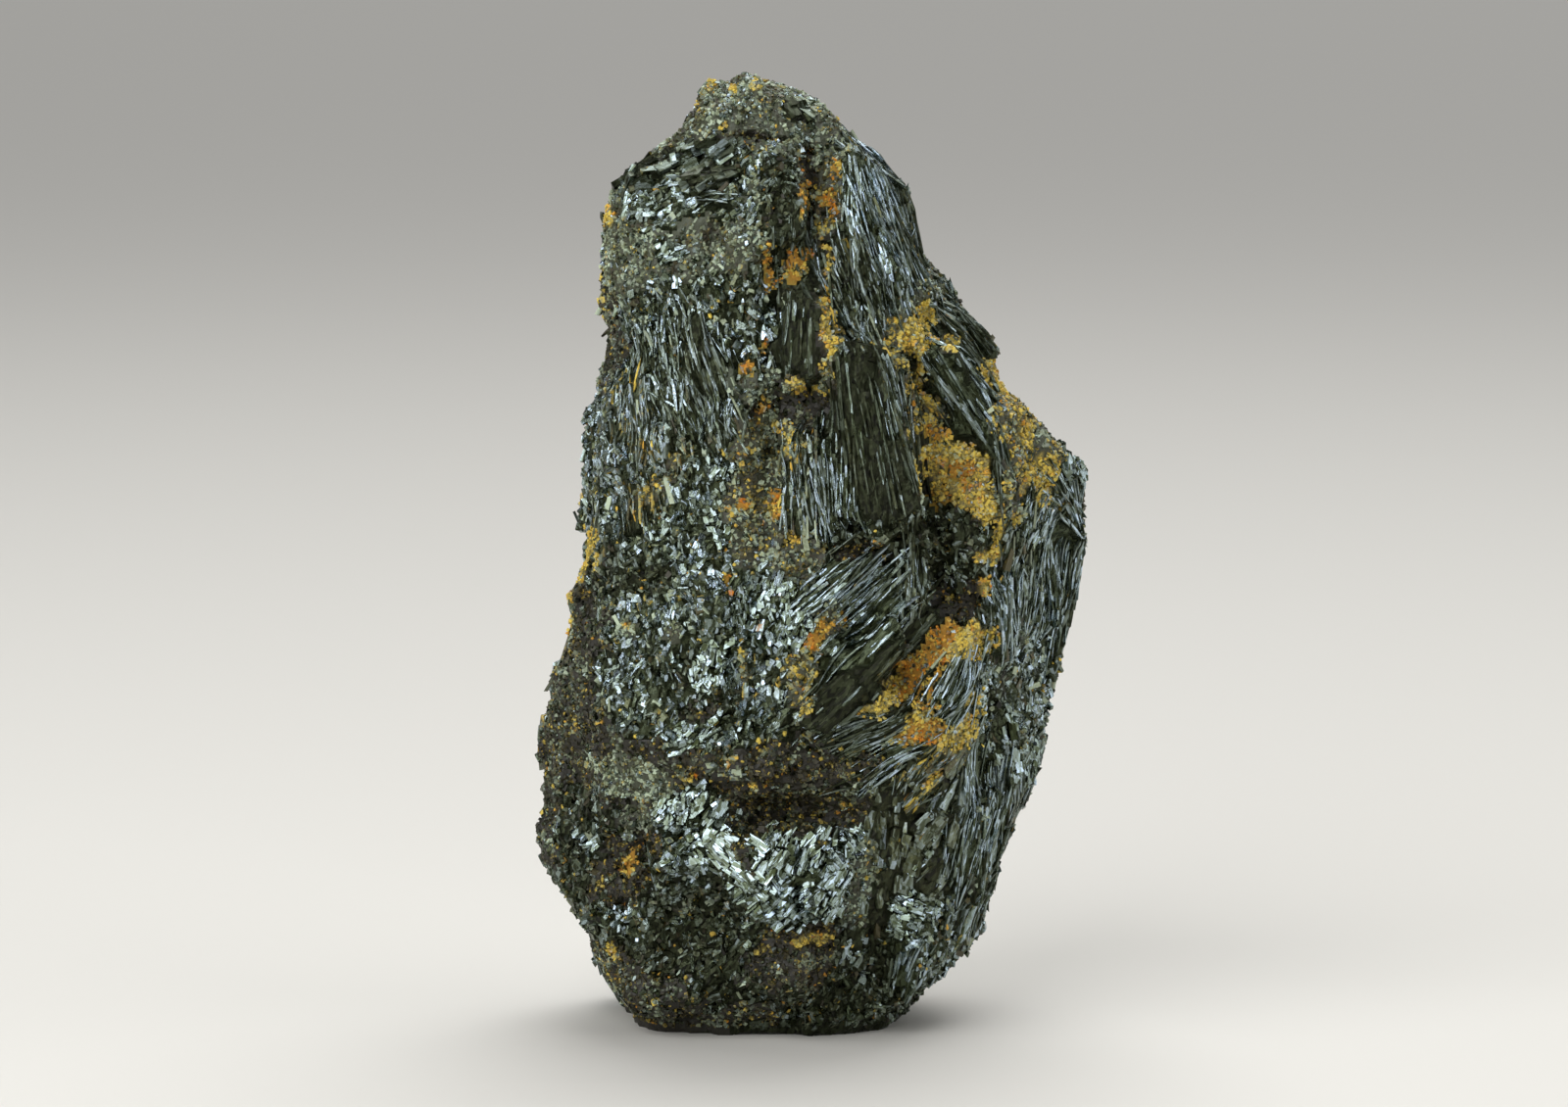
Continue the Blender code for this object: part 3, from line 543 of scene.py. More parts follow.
def crystal_surface(name, blotches_per_mm, roughness):
    """A new material, with its blotches this fine and this rough-edged."""
    material, tree, shader = new_material(name)
    crystal = add_node(tree, "ShaderNodeAttribute", {}, "Vector", attribute_name="crystal")
    finish_and_painted_shade = add_node(tree, "ShaderNodeAttribute", {}, "Color", attribute_name="finish_and_painted_shade")
    shade = finish_and_painted_shade.node.outputs["Alpha"]
    earth = add_node(tree, "ShaderNodeSeparateColor", {"Color": finish_and_painted_shade}, "Red")
    oxide, rust = (earth.node.outputs[name] for name in ("Green", "Blue"))
    blotch = add_node(tree, "ShaderNodeTexNoise", {
        "Vector": crystal, "Scale": blotches_per_mm, "Detail": 4.0, "Roughness": roughness,
    })
    return Surface(material, tree, shader, crystal, blotch, earth, oxide, rust, shade)


def ochre_hue(surface, colours):
    """Ochre runs from yellow to orange with its rust."""
    return add_node(
        surface.tree, "ShaderNodeMix",
        {MIX_FACTOR: surface.rust, MIX_A: colours.ochre, MIX_B: colours.rust},
        MIX_RESULT, data_type="RGBA",
    )


def ochre_dust(surface, start, full):
    """Ochre dusts a crystal where its oxide outweighs the blotches."""
    both = {0: surface.oxide, 1: surface.blotch}
    total = add_node(surface.tree, "ShaderNodeMath", both, operation="ADD")
    return add_node(
        surface.tree, "ShaderNodeMapRange", {"Value": total, "From Min": start, "From Max": full}
    )


def dimmed(tree, hue, light, blue_light):
    """The hue dimmed by this much light, and by its own amount in blue."""
    parts = {"Red": light, "Green": light, "Blue": blue_light}
    grey = add_node(tree, "ShaderNodeCombineColor", parts)
    return add_node(
        tree, "ShaderNodeMix", {MIX_FACTOR: 1.0, MIX_A: hue, MIX_B: grey},
        MIX_RESULT, data_type="RGBA", blend_type="MULTIPLY",
    )


def completed(surface, shader_inputs, height, strength, depth_mm):
    """The material, with these inputs of its shader and relief of this height and depth."""
    relief = {"Strength": strength, "Distance": depth_mm * MM, "Height": height}
    bump = add_node(surface.tree, "ShaderNodeBump", relief)
    feed(surface.tree, surface.shader, {"Normal": bump, **shader_inputs})
    return surface.material


# Patterns of the materials, as features in each millimetre, and how strongly they show.
STRIAE_PER_MM = (6.5, 6.5, 0.22)  # striations about 0.15 mm apart, which run for some 4.5 mm
STEPS_PER_MM = (2.4, 2.4, 0.85)  # cleavage steps about 0.4 mm wide and 1.2 mm long
HACKLE_PER_MM = 2.9  # four-sided pits and points of hackly fracture, about 0.35 mm across
STEP_HEIGHT = 0.7  # of a cleavage step, beside the relief's depth
FILM_GAIN = 1.8  # how fast the oxide film thickens with tarnish
BLUE_LOSS = 1.35  # places painted darker, by tone or by painted shade, keep less blue and turn browner
FRESH_ROUGHNESS, FILM_ROUGHNESS, DUST_ROUGHNESS = 0.2, 0.2, 0.5  # each adds to the one before
GANGUE_BLOTCHES = 0.9  # how much the gangue's blotches add to its brownness
OCHRE_LEAST_TONE = 0.2  # tone of ochre where it is darkest


def stibnite_material(name, colours, relief_mm, hackle):
    """Lead-grey sulphide, metallic in lustre: cleaved faces are mirrors ruled with fine
    striations, bluish where fresh and olive-grey where a thin oxide film has dulled them."""
    surface = crystal_surface(name, blotches_per_mm=1.4, roughness=0.65)
    tree, crystal = surface.tree, surface.crystal
    ruled = add_node(tree, "ShaderNodeMapping", {"Vector": crystal, "Scale": STRIAE_PER_MM})
    striae = add_node(
        tree, "ShaderNodeTexNoise",
        {"Vector": ruled, "Scale": 1.0, "Detail": 3.0, "Roughness": 0.6},
    )
    stepped = add_node(tree, "ShaderNodeMapping", {"Vector": crystal, "Scale": STEPS_PER_MM})
    cells = add_node(tree, "ShaderNodeTexVoronoi", {"Vector": stepped, "Scale": 1.0}, "Color")
    level = add_node(tree, "ShaderNodeSeparateColor", {"Color": cells}, "Red")
    thin_film = add_node(
        tree, "ShaderNodeMath", {0: surface.earth, 1: surface.blotch, 2: 0.0},
        operation="MULTIPLY_ADD", use_clamp=True,
    )
    film = add_node(
        tree, "ShaderNodeMath", {0: thin_film, 1: FILM_GAIN}, operation="MULTIPLY", use_clamp=True
    )
    shade = add_node(
        tree, "ShaderNodeMapRange", {"Value": surface.shade, "To Min": 0.05, "To Max": 1.0}
    )
    mottle = add_node(
        tree, "ShaderNodeMapRange", {"Value": level, "To Min": 0.12, "To Max": 1.5}
    )
    light = add_node(tree, "ShaderNodeMath", {0: shade, 1: mottle}, operation="MULTIPLY")
    blue_light = add_node(tree, "ShaderNodeMath", {0: light, 1: BLUE_LOSS}, operation="POWER")
    metal = add_node(
        tree, "ShaderNodeMix", {MIX_FACTOR: film, MIX_A: colours.fresh, MIX_B: colours.tarnish},
        MIX_RESULT, data_type="RGBA",
    )
    shaded = dimmed(tree, metal, light, blue_light)
    dust = ochre_dust(surface, start=0.78, full=1.0)
    hue = add_node(
        tree, "ShaderNodeMix",
        {MIX_FACTOR: dust, MIX_A: shaded, MIX_B: ochre_hue(surface, colours)},
        MIX_RESULT, data_type="RGBA",
    )
    # Neither dust nor the thicker film has the metal's lustre.
    bare = add_node(tree, "ShaderNodeMapRange", {"Value": dust, "To Min": 1.0, "To Max": 0.0})
    clean = add_node(tree, "ShaderNodeMapRange", {"Value": film, "To Min": 1.0, "To Max": 0.6})
    metallic = add_node(tree, "ShaderNodeMath", {0: bare, 1: clean}, operation="MULTIPLY")
    rough = add_node(
        tree, "ShaderNodeMath", {0: film, 1: FILM_ROUGHNESS, 2: FRESH_ROUGHNESS},
        operation="MULTIPLY_ADD",
    )
    rougher = add_node(
        tree, "ShaderNodeMath", {0: dust, 1: DUST_ROUGHNESS, 2: rough},
        operation="MULTIPLY_ADD", use_clamp=True,
    )
    facets = add_node(
        tree, "ShaderNodeTexVoronoi", {"Vector": crystal, "Scale": HACKLE_PER_MM},
        distance="CHEBYCHEV",
    )
    fracture = add_node(
        tree, "ShaderNodeMath", {0: facets, 1: hackle, 2: striae}, operation="MULTIPLY_ADD"
    )
    relief = add_node(
        tree, "ShaderNodeMath", {0: level, 1: STEP_HEIGHT, 2: fracture}, operation="MULTIPLY_ADD"
    )
    shader_inputs = {"Base Color": hue, "Metallic": metallic, "Roughness": rougher}
    return completed(surface, shader_inputs, relief, strength=0.8, depth_mm=relief_mm)


def gangue_material(colours):
    """Broken quartz and clay grains stained by oxide: rough and stony, from cream to brown."""
    surface = crystal_surface("gangue_broken_granular", blotches_per_mm=3.0, roughness=0.75)
    tree = surface.tree
    tone = add_node(
        tree, "ShaderNodeMath", {0: surface.blotch, 1: GANGUE_BLOTCHES, 2: surface.earth},
        operation="MULTIPLY_ADD",
    )
    stained = add_node(tree, "ShaderNodeValToRGB", {"Fac": tone})
    stops = stained.node.color_ramp.elements
    stops[0].position = 0.42
    stops[0].color = colours.gangue_pale
    stops[1].position = 1.0
    stops[1].color = colours.gangue_brown
    stops.new(0.85).color = colours.gangue_olive
    light = add_node(
        tree, "ShaderNodeMapRange", {"Value": surface.shade, "To Min": 0.15, "To Max": 1.3}
    )
    shaded = dimmed(tree, stained, light, light)
    dust = ochre_dust(surface, start=0.75, full=1.1)
    hue = add_node(
        tree, "ShaderNodeMix", {MIX_FACTOR: dust, MIX_A: shaded, MIX_B: colours.ochre},
        MIX_RESULT, data_type="RGBA",
    )
    shader_inputs = {"Base Color": hue, "Roughness": 0.5, "IOR": 1.54}
    return completed(surface, shader_inputs, surface.blotch, strength=0.6, depth_mm=0.1)


def ochre_material(colours):
    """Earthy antimony ochre: a soft, crumbly powder without lustre, yellow to iron-orange."""
    surface = crystal_surface("antimony_ochre_earthy", blotches_per_mm=2.0, roughness=0.7)
    tree = surface.tree
    shade = add_node(
        tree, "ShaderNodeMapRange", {"Value": surface.shade, "To Min": 0.35, "To Max": 1.2}
    )
    mottled = add_node(
        tree, "ShaderNodeMath", {0: surface.blotch, 1: shade, 2: OCHRE_LEAST_TONE},
        operation="MULTIPLY_ADD",
    )
    light = add_node(tree, "ShaderNodeMapRange", {
        "Value": mottled, "From Min": 0.3, "From Max": 0.8, "To Min": 0.35, "To Max": 1.25,
    })
    hue = dimmed(tree, ochre_hue(surface, colours), light, light)
    shader_inputs = {"Base Color": hue, "Roughness": 0.85}
    return completed(surface, shader_inputs, surface.blotch, strength=0.8, depth_mm=0.12)


@functools.lru_cache(maxsize=None)
def materials():
    """The materials of the five forms, in the order of FORMS."""
    colours = bpy.context.scene.stibnite_colours
    return (
        stibnite_material("stibnite_striated_metallic", colours, relief_mm=0.14, hackle=0.0),
        stibnite_material("stibnite_hackly_metallic", colours, relief_mm=0.06, hackle=1.2),
        stibnite_material("stibnite_cleaved_metallic", colours, relief_mm=0.04, hackle=0.5),
        gangue_material(colours),
        ochre_material(colours),
    )


def wander(points_mm, size):
    """A smooth vector noise at each point, its features about this many millimetres across."""
    return np.array([noise.noise_vector(p) for p in (points_mm / size).tolist()])


def broken(points_mm, size):
    """Height of a broken surface: flat cells about this size, each tilted its own way."""
    rise = []
    for place in (points_mm / size).tolist():
        cell = noise.voronoi(place)[1][0]
        tilt = noise.noise_vector(cell * CELL_SCRAMBLE)
        rise.append((Vector(place) - cell).dot(tilt))
    return np.array(rise) * size


def unit(vectors):
    return vectors / np.maximum(np.linalg.norm(vectors, axis=1, keepdims=True), 1e-12)


def dots(a, b):
    return (a * b).sum(axis=1)


def turned(vectors, axes, degrees):
    """Vectors turned about axes, each by its own angle."""
    angle = np.radians(degrees)[:, None]
    cosine, sine = np.cos(angle), np.sin(angle)
    dot = dots(vectors, axes)[:, None]
    return vectors * cosine + np.cross(axes, vectors) * sine + axes * dot * (1 - cosine)


def leaning(east, lean):
    """Unit vectors along and across crystals that lean from upright towards east."""
    angle = np.radians(lean)[:, None]
    up = np.array([0.0, 0.0, 1.0])
    return east * np.sin(angle) + up * np.cos(angle), east * np.cos(angle) - up * np.sin(angle)


RearPatches = namedtuple("RearPatches", "centre habit along across")


@functools.lru_cache(maxsize=None)
def rear_patches():
    """Patches of the sides and back, strewn through the solid's box, habits drawn in turn."""
    rng = np.random.default_rng(SEED)
    count = int((HIGH_MM - LOW_MM).prod() / REAR_PATCH_MM ** 3)
    centre = rng.uniform(LOW_MM, HIGH_MM, (count, 3))
    names = list(HABITS)
    habit = np.array([names.index(REAR_HABITS[i % len(REAR_HABITS)]) for i in range(count)])
    outward = unit(centre * (1, 1, 0))
    east = np.stack([-outward[:, 1], outward[:, 0], np.zeros(count)], axis=1)
    along, across = leaning(east, rng.normal(0, REAR_LEAN, count))
    return RearPatches(centre, habit, along, across)


Growth = namedtuple("Growth", "habit along across rear patch")


def growth(points_mm, normals):
    """What grows at each point: its habit, the way its crystals lie, and the patch it is in."""
    names = list(HABITS)
    count = len(points_mm)
    shift = sum(wander(points_mm, size) * reach for size, reach in WARPS_MM)
    x, z = points_mm[:, 0], points_mm[:, 2]
    reach = np.empty((len(FRONT), count))
    for i, patch in enumerate(FRONT):
        turn = math.radians(patch.turn)
        give = min(1.0, (patch.half_width + patch.half_height) / SMALL_PATCH_MM)
        dx = x - patch.x + shift[:, 0] * give
        dz = z - patch.z + shift[:, 2] * give
        across = (dx * math.cos(turn) - dz * math.sin(turn)) / patch.half_width
        along = (dx * math.sin(turn) + dz * math.cos(turn)) / patch.half_height
        reach[i] = np.hypot(across, along)
    painted = np.where(reach < 1, np.arange(len(FRONT))[:, None], -1).max(axis=0)
    chosen = np.where(painted >= 0, painted, reach.argmin(axis=0))
    habit = np.array([names.index(p.habit) for p in FRONT])[chosen]
    lean = np.array([float(p.lean) for p in FRONT])[chosen]
    along, across = leaning(np.array([[1.0, 0.0, 0.0]]), lean)
    facing = np.maximum(normals[:, 2], 0) * TOP_AS_FRONT - normals[:, 1]
    rear = facing + REAR_WARP * shift[:, 1] < FRONT_FACING
    others = rear_patches()
    moved = points_mm[rear] + shift[rear] * REAR_WARP_MM
    gaps = ((moved[:, None, :] - others.centre[None]) ** 2 * REAR_STRETCH).sum(axis=2)
    nearest = gaps.argmin(axis=1)
    habit[rear] = others.habit[nearest]
    along[rear] = others.along[nearest]
    across[rear] = others.across[nearest]
    chosen[rear] = len(FRONT) + nearest
    return Growth(habit, along, across, rear, chosen)


def of_habit(habit, *fields):
    """Fields of each point's habit, one column for each field."""
    table = np.array([[getattr(h, f) for f in fields] for h in HABITS.values()], float)
    return table[habit]


def read(collection, name, width, kind=np.float32):
    """One property of a mesh's vertices, edges, faces or corners, as rows of this width."""
    values = np.empty(len(collection) * width, kind)
    collection.foreach_get(name, values)
    return values.reshape(-1, width).astype(float if kind is np.float32 else kind)


def soft_normals(mesh, rounds):
    """The vertices' normals, averaged with their neighbours' this many times."""
    normals = read(mesh.vertex_normals, "vector", 3)
    edges = read(mesh.edges, "vertices", 2, np.int32)
    for _ in range(rounds):
        total = normals.copy()
        for column in range(3):
            for a, b in ((0, 1), (1, 0)):
                total[:, column] += np.bincount(
                    edges[:, a], weights=normals[edges[:, b], column], minlength=len(normals)
                )
        normals = unit(total)
    return normals


def store(mesh, crystal, finish_and_painted_shade):
    """Stores each point's place in its own crystal, in millimetres, and its finish with its painted
    shade.
    """
    own_axes = mesh.attributes.new("crystal", "FLOAT_VECTOR", "POINT")
    own_axes.data.foreach_set("vector", np.ascontiguousarray(crystal, np.float32).ravel())
    looks = mesh.attributes.new("finish_and_painted_shade", "FLOAT_COLOR", "POINT")
    looks.data.foreach_set("color", np.ascontiguousarray(finish_and_painted_shade, np.float32).ravel())


def finish_piece(obj):
    """Every piece rides on the one body and stands for its solid."""
    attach(obj, "root")
    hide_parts(NODE)


class STIBNITE_OT_ground(bpy.types.Operator):
    """Rebuild the solid's skin as a fine, broken ground mass"""

    bl_idname = "stibnite.ground"
    bl_label = "Ground Mass"

    def execute(self, context):
        settings = context.scene.stibnite_ground
        ground = self.rebuilt(context, settings.voxel * MM)
        grown, own = self.break_up(ground.data, settings)
        self.dress(ground.data, grown, own, settings.painted_gap_dimness)
        ground.data.shade_flat()
        finish_piece(ground)
        return {"FINISHED"}

    def rebuilt(self, context, voxel):
        """The solid's skin as one closed mesh on an even grid."""
        bm = bmesh.new()
        bm.from_mesh(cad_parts[NODE].data)
        bmesh.ops.remove_doubles(bm, verts=bm.verts, dist=0.001 * MM)
        mesh = bpy.data.meshes.new("ground_mass")
        bm.to_mesh(mesh)
        bm.free()
        ground = bpy.data.objects.new("ground_mass", mesh)
        context.scene.collection.objects.link(ground)
        grid = ground.modifiers.new("skin_grid", "REMESH")
        grid.mode = "VOXEL"
        grid.voxel_size = voxel
        graph = context.evaluated_depsgraph_get()
        mesh = bpy.data.meshes.new_from_object(ground.evaluated_get(graph))
        ground.modifiers.clear()
        ground.data = mesh
        return ground

    def break_up(self, mesh, settings):
        """Breaks the skin up by habit: ridges along laths, tilted faces and lumps elsewhere."""
        points = read(mesh.vertices, "co", 3) / MM
        normals = soft_normals(mesh, GROUND_ROUNDS)
        grown = growth(points, normals)
        depth = dots(points, np.cross(grown.across, grown.along))
        own = np.stack([dots(points, grown.across), depth, dots(points, grown.along)], axis=1)
        own += (grown.patch * PATCH_APART_MM)[:, None]
        ridges = np.abs(wander(own / RIDGE_MM, 1.0)[:, 0])
        lath, chip, plate, grain, crumb, shade = of_habit(grown.habit, *FORMS, "shade").T
        lift = lath * (RIDGE_LEVEL - ridges) * settings.ridges
        lift += (chip + plate) * broken(points, FACE_MM) * settings.faces
        lift += (grain + crumb) * wander(points, LUMP_MM)[:, 1] * settings.lumps
        sunk = settings.inset + np.where(shade < HOLLOW_SHADE, settings.hollows, 0.0)
        foot = np.clip((points[:, 2] - FOOT_MM) / FOOT_FADE_MM, 0, 1)
        points += normals * ((lift - sunk) * foot)[:, None]
        points = np.clip(points, LOW_MM, HIGH_MM)
        mesh.vertices.foreach_set("co", (points * MM).astype(np.float32).ravel())
        mesh.update()
        return grown, own

    def dress(self, mesh, grown, own, painted_gap_dimness):
        """Gives each face the material of its commonest form, darker than the crystals' as painted
        shade between them.
        """
        finish_and_painted_shade = of_habit(grown.habit, "earth", "oxide", "rust", "shade")
        finish_and_painted_shade[:, 0] = np.minimum(1, finish_and_painted_shade[:, 0] + GROUND_TARNISH)
        # Painted shade: the ground seen between the crystals is dimmed.
        finish_and_painted_shade[:, 3] *= painted_gap_dimness
        store(mesh, own, finish_and_painted_shade)
        mesh.materials.clear()
        for material in materials():
            mesh.materials.append(material)
        first = read(mesh.polygons, "loop_start", 1, np.int32).ravel()
        corner = read(mesh.loops, "vertex_index", 1, np.int32).ravel()[first]
        form = of_habit(grown.habit, *FORMS).argmax(axis=1)[corner]
        mesh.polygons.foreach_set("material_index", form.astype(np.int32))


class Skin:
    """The ground mass as arrays: where crystals can sit, and which way the surface faces."""

    def __init__(self, obj):
        mesh = obj.data
        mesh.calc_loop_triangles()
        self.points = read(mesh.vertices, "co", 3) / MM
        self.normals = soft_normals(mesh, SKIN_ROUNDS)
        self.corners = read(mesh.loop_triangles, "vertices", 3, np.int32)
        self.tree = BVHTree.FromPolygons(self.points.tolist(), self.corners.tolist())

    def scattered(self, rng, count):
        """Points strewn evenly over the skin, the soft normal at each, and the skin's area."""
        a, b, c = (self.points[self.corners[:, i]] for i in range(3))
        area = np.linalg.norm(np.cross(b - a, c - a), axis=1) / 2
        chosen = rng.choice(len(area), count, p=area / area.sum())
        u, v = rng.random((2, count, 1))
        flip = u + v > 1
        u, v = np.where(flip, 1 - u, u), np.where(flip, 1 - v, v)
        points = a[chosen] * (1 - u - v) + b[chosen] * u + c[chosen] * v
        normals = unit(self.normals[self.corners[chosen]].mean(axis=1))
        return points, normals, area.sum()

    def height(self, points, normals):
        """How high the skin lies over each point along its normal; a miss is nan."""
        heights = np.full(len(points), np.nan)
        starts = (points + normals * FEEL_ABOVE_MM).tolist()
        for i, (start, inward) in enumerate(zip(starts, (-normals).tolist())):
            distance = self.tree.ray_cast(start, inward, FEEL_ABOVE_MM + FEEL_BELOW_MM)[3]
            if distance is not None:
                heights[i] = FEEL_ABOVE_MM - distance
        return heights

    def gap(self, points):
        """How far each point is from the skin."""
        places = points.reshape(-1, 3).tolist()
        return np.array([self.tree.find_nearest(p)[3] for p in places]).reshape(points.shape[:2])


@functools.lru_cache(maxsize=None)
def skin():
    return Skin(bpy.data.objects["ground_mass"])


Seeds = namedtuple("Seeds", "points normals habit along rear form")


@functools.lru_cache(maxsize=None)
def seeds(cover):
    """Where crystals sit: as many per area as it takes to cover the ground this many times."""
    rng = np.random.default_rng(SEED + 1)
    points, normals, area = skin().scattered(rng, SEED_TRIES)
    off_foot = (points[:, 2] > FOOT_CLEAR_MM) & (normals[:, 2] > UNDERSIDE)
    points, normals = points[off_foot], normals[off_foot]
    grown = growth(points, normals)
    length, width = of_habit(grown.habit, "length", "width").T
    size = length * width * np.where(grown.rear, REAR_COARSENESS ** 2, 1.0)
    shares = of_habit(grown.habit, *FORMS)
    form = (rng.random((len(points), 1)) > shares.cumsum(axis=1)).sum(axis=1)
    form = np.minimum(form, len(FORMS) - 1)
    cover = cover * np.array([f.cover for f in FORMS.values()])[form]
    kept = rng.random(len(points)) < cover / size * area / SEED_TRIES
    return Seeds(
        points[kept], normals[kept], grown.habit[kept], grown.along[kept], grown.rear[kept],
        form[kept],
    )


def lath(bm, rng):
    """A lath: a long bar, ridged along the top, that swells and narrows a little on its way and
    ends in slanting breaks."""
    bmesh.ops.create_cube(bm, size=1)
    upright = [e for e in bm.edges if abs(e.verts[0].co.z - e.verts[1].co.z) > 0.5]
    bmesh.ops.subdivide_edges(bm, edges=upright, cuts=LATH_STEPS - 1, use_grid_fill=True)
    crest = rng.uniform(0.25, 0.7)
    crest_shift = rng.uniform(-0.25, 0.25)
    slant = rng.normal(0, 0.07, 4)
    swell = rng.uniform(0.8, 1.15, LATH_STEPS + 1)
    end_width = 0.75
    for vert in bm.verts:
        step = round((vert.co.z + 0.5) * LATH_STEPS)
        vert.co.x *= swell[step]
        if vert.co.y > 0:
            vert.co.x = vert.co.x * crest + crest_shift * swell[step]
            vert.co.y *= rng.uniform(0.85, 1.1)
        if step in (0, LATH_STEPS):
            corner = (vert.co.x > 0) + 2 * (vert.co.y > 0)
            vert.co.z += slant[corner]
            vert.co.x *= end_width


def chip(bm, rng):
    """A cleavage chip or plate: a flat block broken by two planes, its edges left sharp."""
    bmesh.ops.create_cube(bm, size=1)
    for _ in range(2):
        normal = Vector(rng.uniform((-1, 0, -1), (1, 0.6, 1))).normalized()
        furthest = max(v.co.dot(normal) for v in bm.verts)
        cut = bmesh.ops.bisect_plane(
            bm, geom=bm.verts[:] + bm.edges[:] + bm.faces[:], plane_no=normal,
            plane_co=normal * furthest * rng.uniform(0.55, 0.85), clear_outer=True,
        )
        rim = [e for e in cut["geom_cut"] if isinstance(e, bmesh.types.BMEdge)]
        bmesh.ops.holes_fill(bm, edges=rim, sides=0)


def grain(bm, rng):
    """A gangue grain: a small block with its corners knocked out of true."""
    bmesh.ops.create_cube(bm, size=0.95)
    for vert in bm.verts:
        vert.co *= rng.uniform(0.6, 1.15)


def crumb(bm, rng):
    """An ochre crumb: a small ball, a little uneven."""
    bmesh.ops.create_icosphere(bm, subdivisions=1, radius=0.56)
    for vert in bm.verts:
        vert.co *= rng.uniform(0.75, 1.15)


def broken_shapes(make, first_seed):
    """Several shapes of one form, upright and one unit long: each one's points, and the corners
    of its triangles, facing outwards."""
    shapes = []
    for i in range(bpy.context.scene.stibnite_crystals.variants):
        bm = bmesh.new()
        make(bm, np.random.default_rng(first_seed + i))
        bmesh.ops.triangulate(bm, faces=bm.faces)
        bmesh.ops.recalc_face_normals(bm, faces=bm.faces)
        bm.verts.index_update()
        points = np.array([v.co[:] for v in bm.verts])
        corners = np.array([[v.index for v in f.verts] for f in bm.faces])
        bm.free()
        shapes.append((points, corners))
    return shapes


def size_spread(rng, count, largest):
    """Sizes vary as broken things do: many small, few large."""
    return np.clip(rng.lognormal(SIZE_MIDDLE, SIZE_SPREAD, count), SMALLEST, largest)


def bedded(at, along, length):
    """How a lath bends to lie on the skin: for each, the rise, slope and curve of its bed. One
    that would bridge a step is cut short and lies straight."""
    heights = np.stack([
        skin().height(at.points + along * (length * s)[:, None], at.normals) for s in BED_STATIONS
    ], axis=1)
    level = np.ptp(heights, axis=1) < MOST_CLIMB * length
    powers = np.stack([BED_STATIONS ** 0, BED_STATIONS, BED_STATIONS ** 2])
    bed = np.nan_to_num(heights) @ np.linalg.pinv(powers.T).T
    level &= np.abs(bed @ powers - np.nan_to_num(heights)).max(axis=1) < BED_MISFIT_MM
    bed[~level] = 0.0
    return bed, np.where(level, length, np.minimum(length * STUB_SHARE, STUB_MM))


# How crystals lie: their sizes, middles and axes, the beds they bend to, and how far their
# cleavage agrees.
Lie = namedtuple("Lie", "sizes middle across out along bed facing")


def laid(at, form, rng):
    """How a crystal of this form lies at each seed, as its habit says."""
    count = len(at.points)
    length, width, spread, tumble, proud, facing = of_habit(
        at.habit, "length", "width", "spread", "tumble", "proud", "facing"
    ).T
    coarse = np.where(at.rear, REAR_COARSENESS, 1.0)
    length = length * coarse * size_spread(rng, count, FORMS[form].largest)
    width = width * coarse * size_spread(rng, count, FORMS[form].largest)
    nearness = at.normals @ CLEAVAGES.T
    toward = np.clip((nearness.max(axis=1) - CLEAVED_FROM) / CLEAVED_FADE, 0, 1)
    facing = np.where(at.rear, 0, facing * toward)[:, None]
    out = unit(at.normals * (1 - facing) + CLEAVAGES[nearness.argmax(axis=1)] * facing)
    if form in ("chip", "plate"):
        domain = wander(at.points, DOMAIN_MM) * (1 - facing)
        domain *= np.where(at.rear, REAR_DOMAIN_TILT, DOMAIN_TILT)[:, None]
        out = unit(out + domain - out * dots(out, domain)[:, None])
    flat = at.normals if form == "lath" else out
    along = unit(at.along - flat * dots(at.along, flat)[:, None])
    along = turned(along, flat, rng.normal(0, 1, count) * spread)
    bed = np.zeros((count, 3))
    if form == "lath":
        bed, length = bedded(at, along, length)
    across = unit(np.cross(out, along))
    out = np.cross(along, across)
    tip, roll = rng.normal(0, 1, (2, count)) * tumble
    if form == "lath":
        tip = np.clip(tip, -MOST_TIP, MOST_TIP)
        bed[:, 1] += np.tan(np.radians(tip)) * length
    else:
        along = turned(along, across, tip)
        out = np.cross(along, across)
    across, out = turned(across, along, roll), turned(out, along, roll)
    deep = FORMS[form].thickness * np.maximum(width, LEAST_WIDTH_MM)
    proud = proud * coarse * rng.uniform(*PROUD_RANGE, count)
    middle = at.points + at.normals * (proud - deep / 2)[:, None]
    sizes = np.stack([width, deep, length], axis=1)
    return Lie(sizes, middle, across, out, along, bed, facing[:, 0])


def finishes(at, form, facing, rng):
    """Each crystal's finish and shade, the painted shade of the hollows among them: its habit's, with
    tones, stains and mottling in areas, and a little of its own. Crystals whose cleavage agrees are
    left even."""
    finish_and_painted_shade = of_habit(at.habit, "earth", "oxide", "rust", "shade")
    finish_and_painted_shade[:, 3] *= 1 + TONE * (1 - facing) * wander(at.points, TONE_MM)[:, 0]
    stain = wander(at.points, STAIN_MM)
    finish_and_painted_shade[:, 0] += MOTTLE * stain[:, 2]
    finish_and_painted_shade[:, 2] += MOTTLE * stain[:, 1]
    stained = FORMS[form].stain * (1 - facing)
    finish_and_painted_shade[:, 1] += stained * np.clip(stain[:, 0] - STAIN_FROM, 0, 1)
    return np.clip(finish_and_painted_shade + rng.normal(0, 1, finish_and_painted_shade.shape) * FINISH_JITTER, 0, 1)


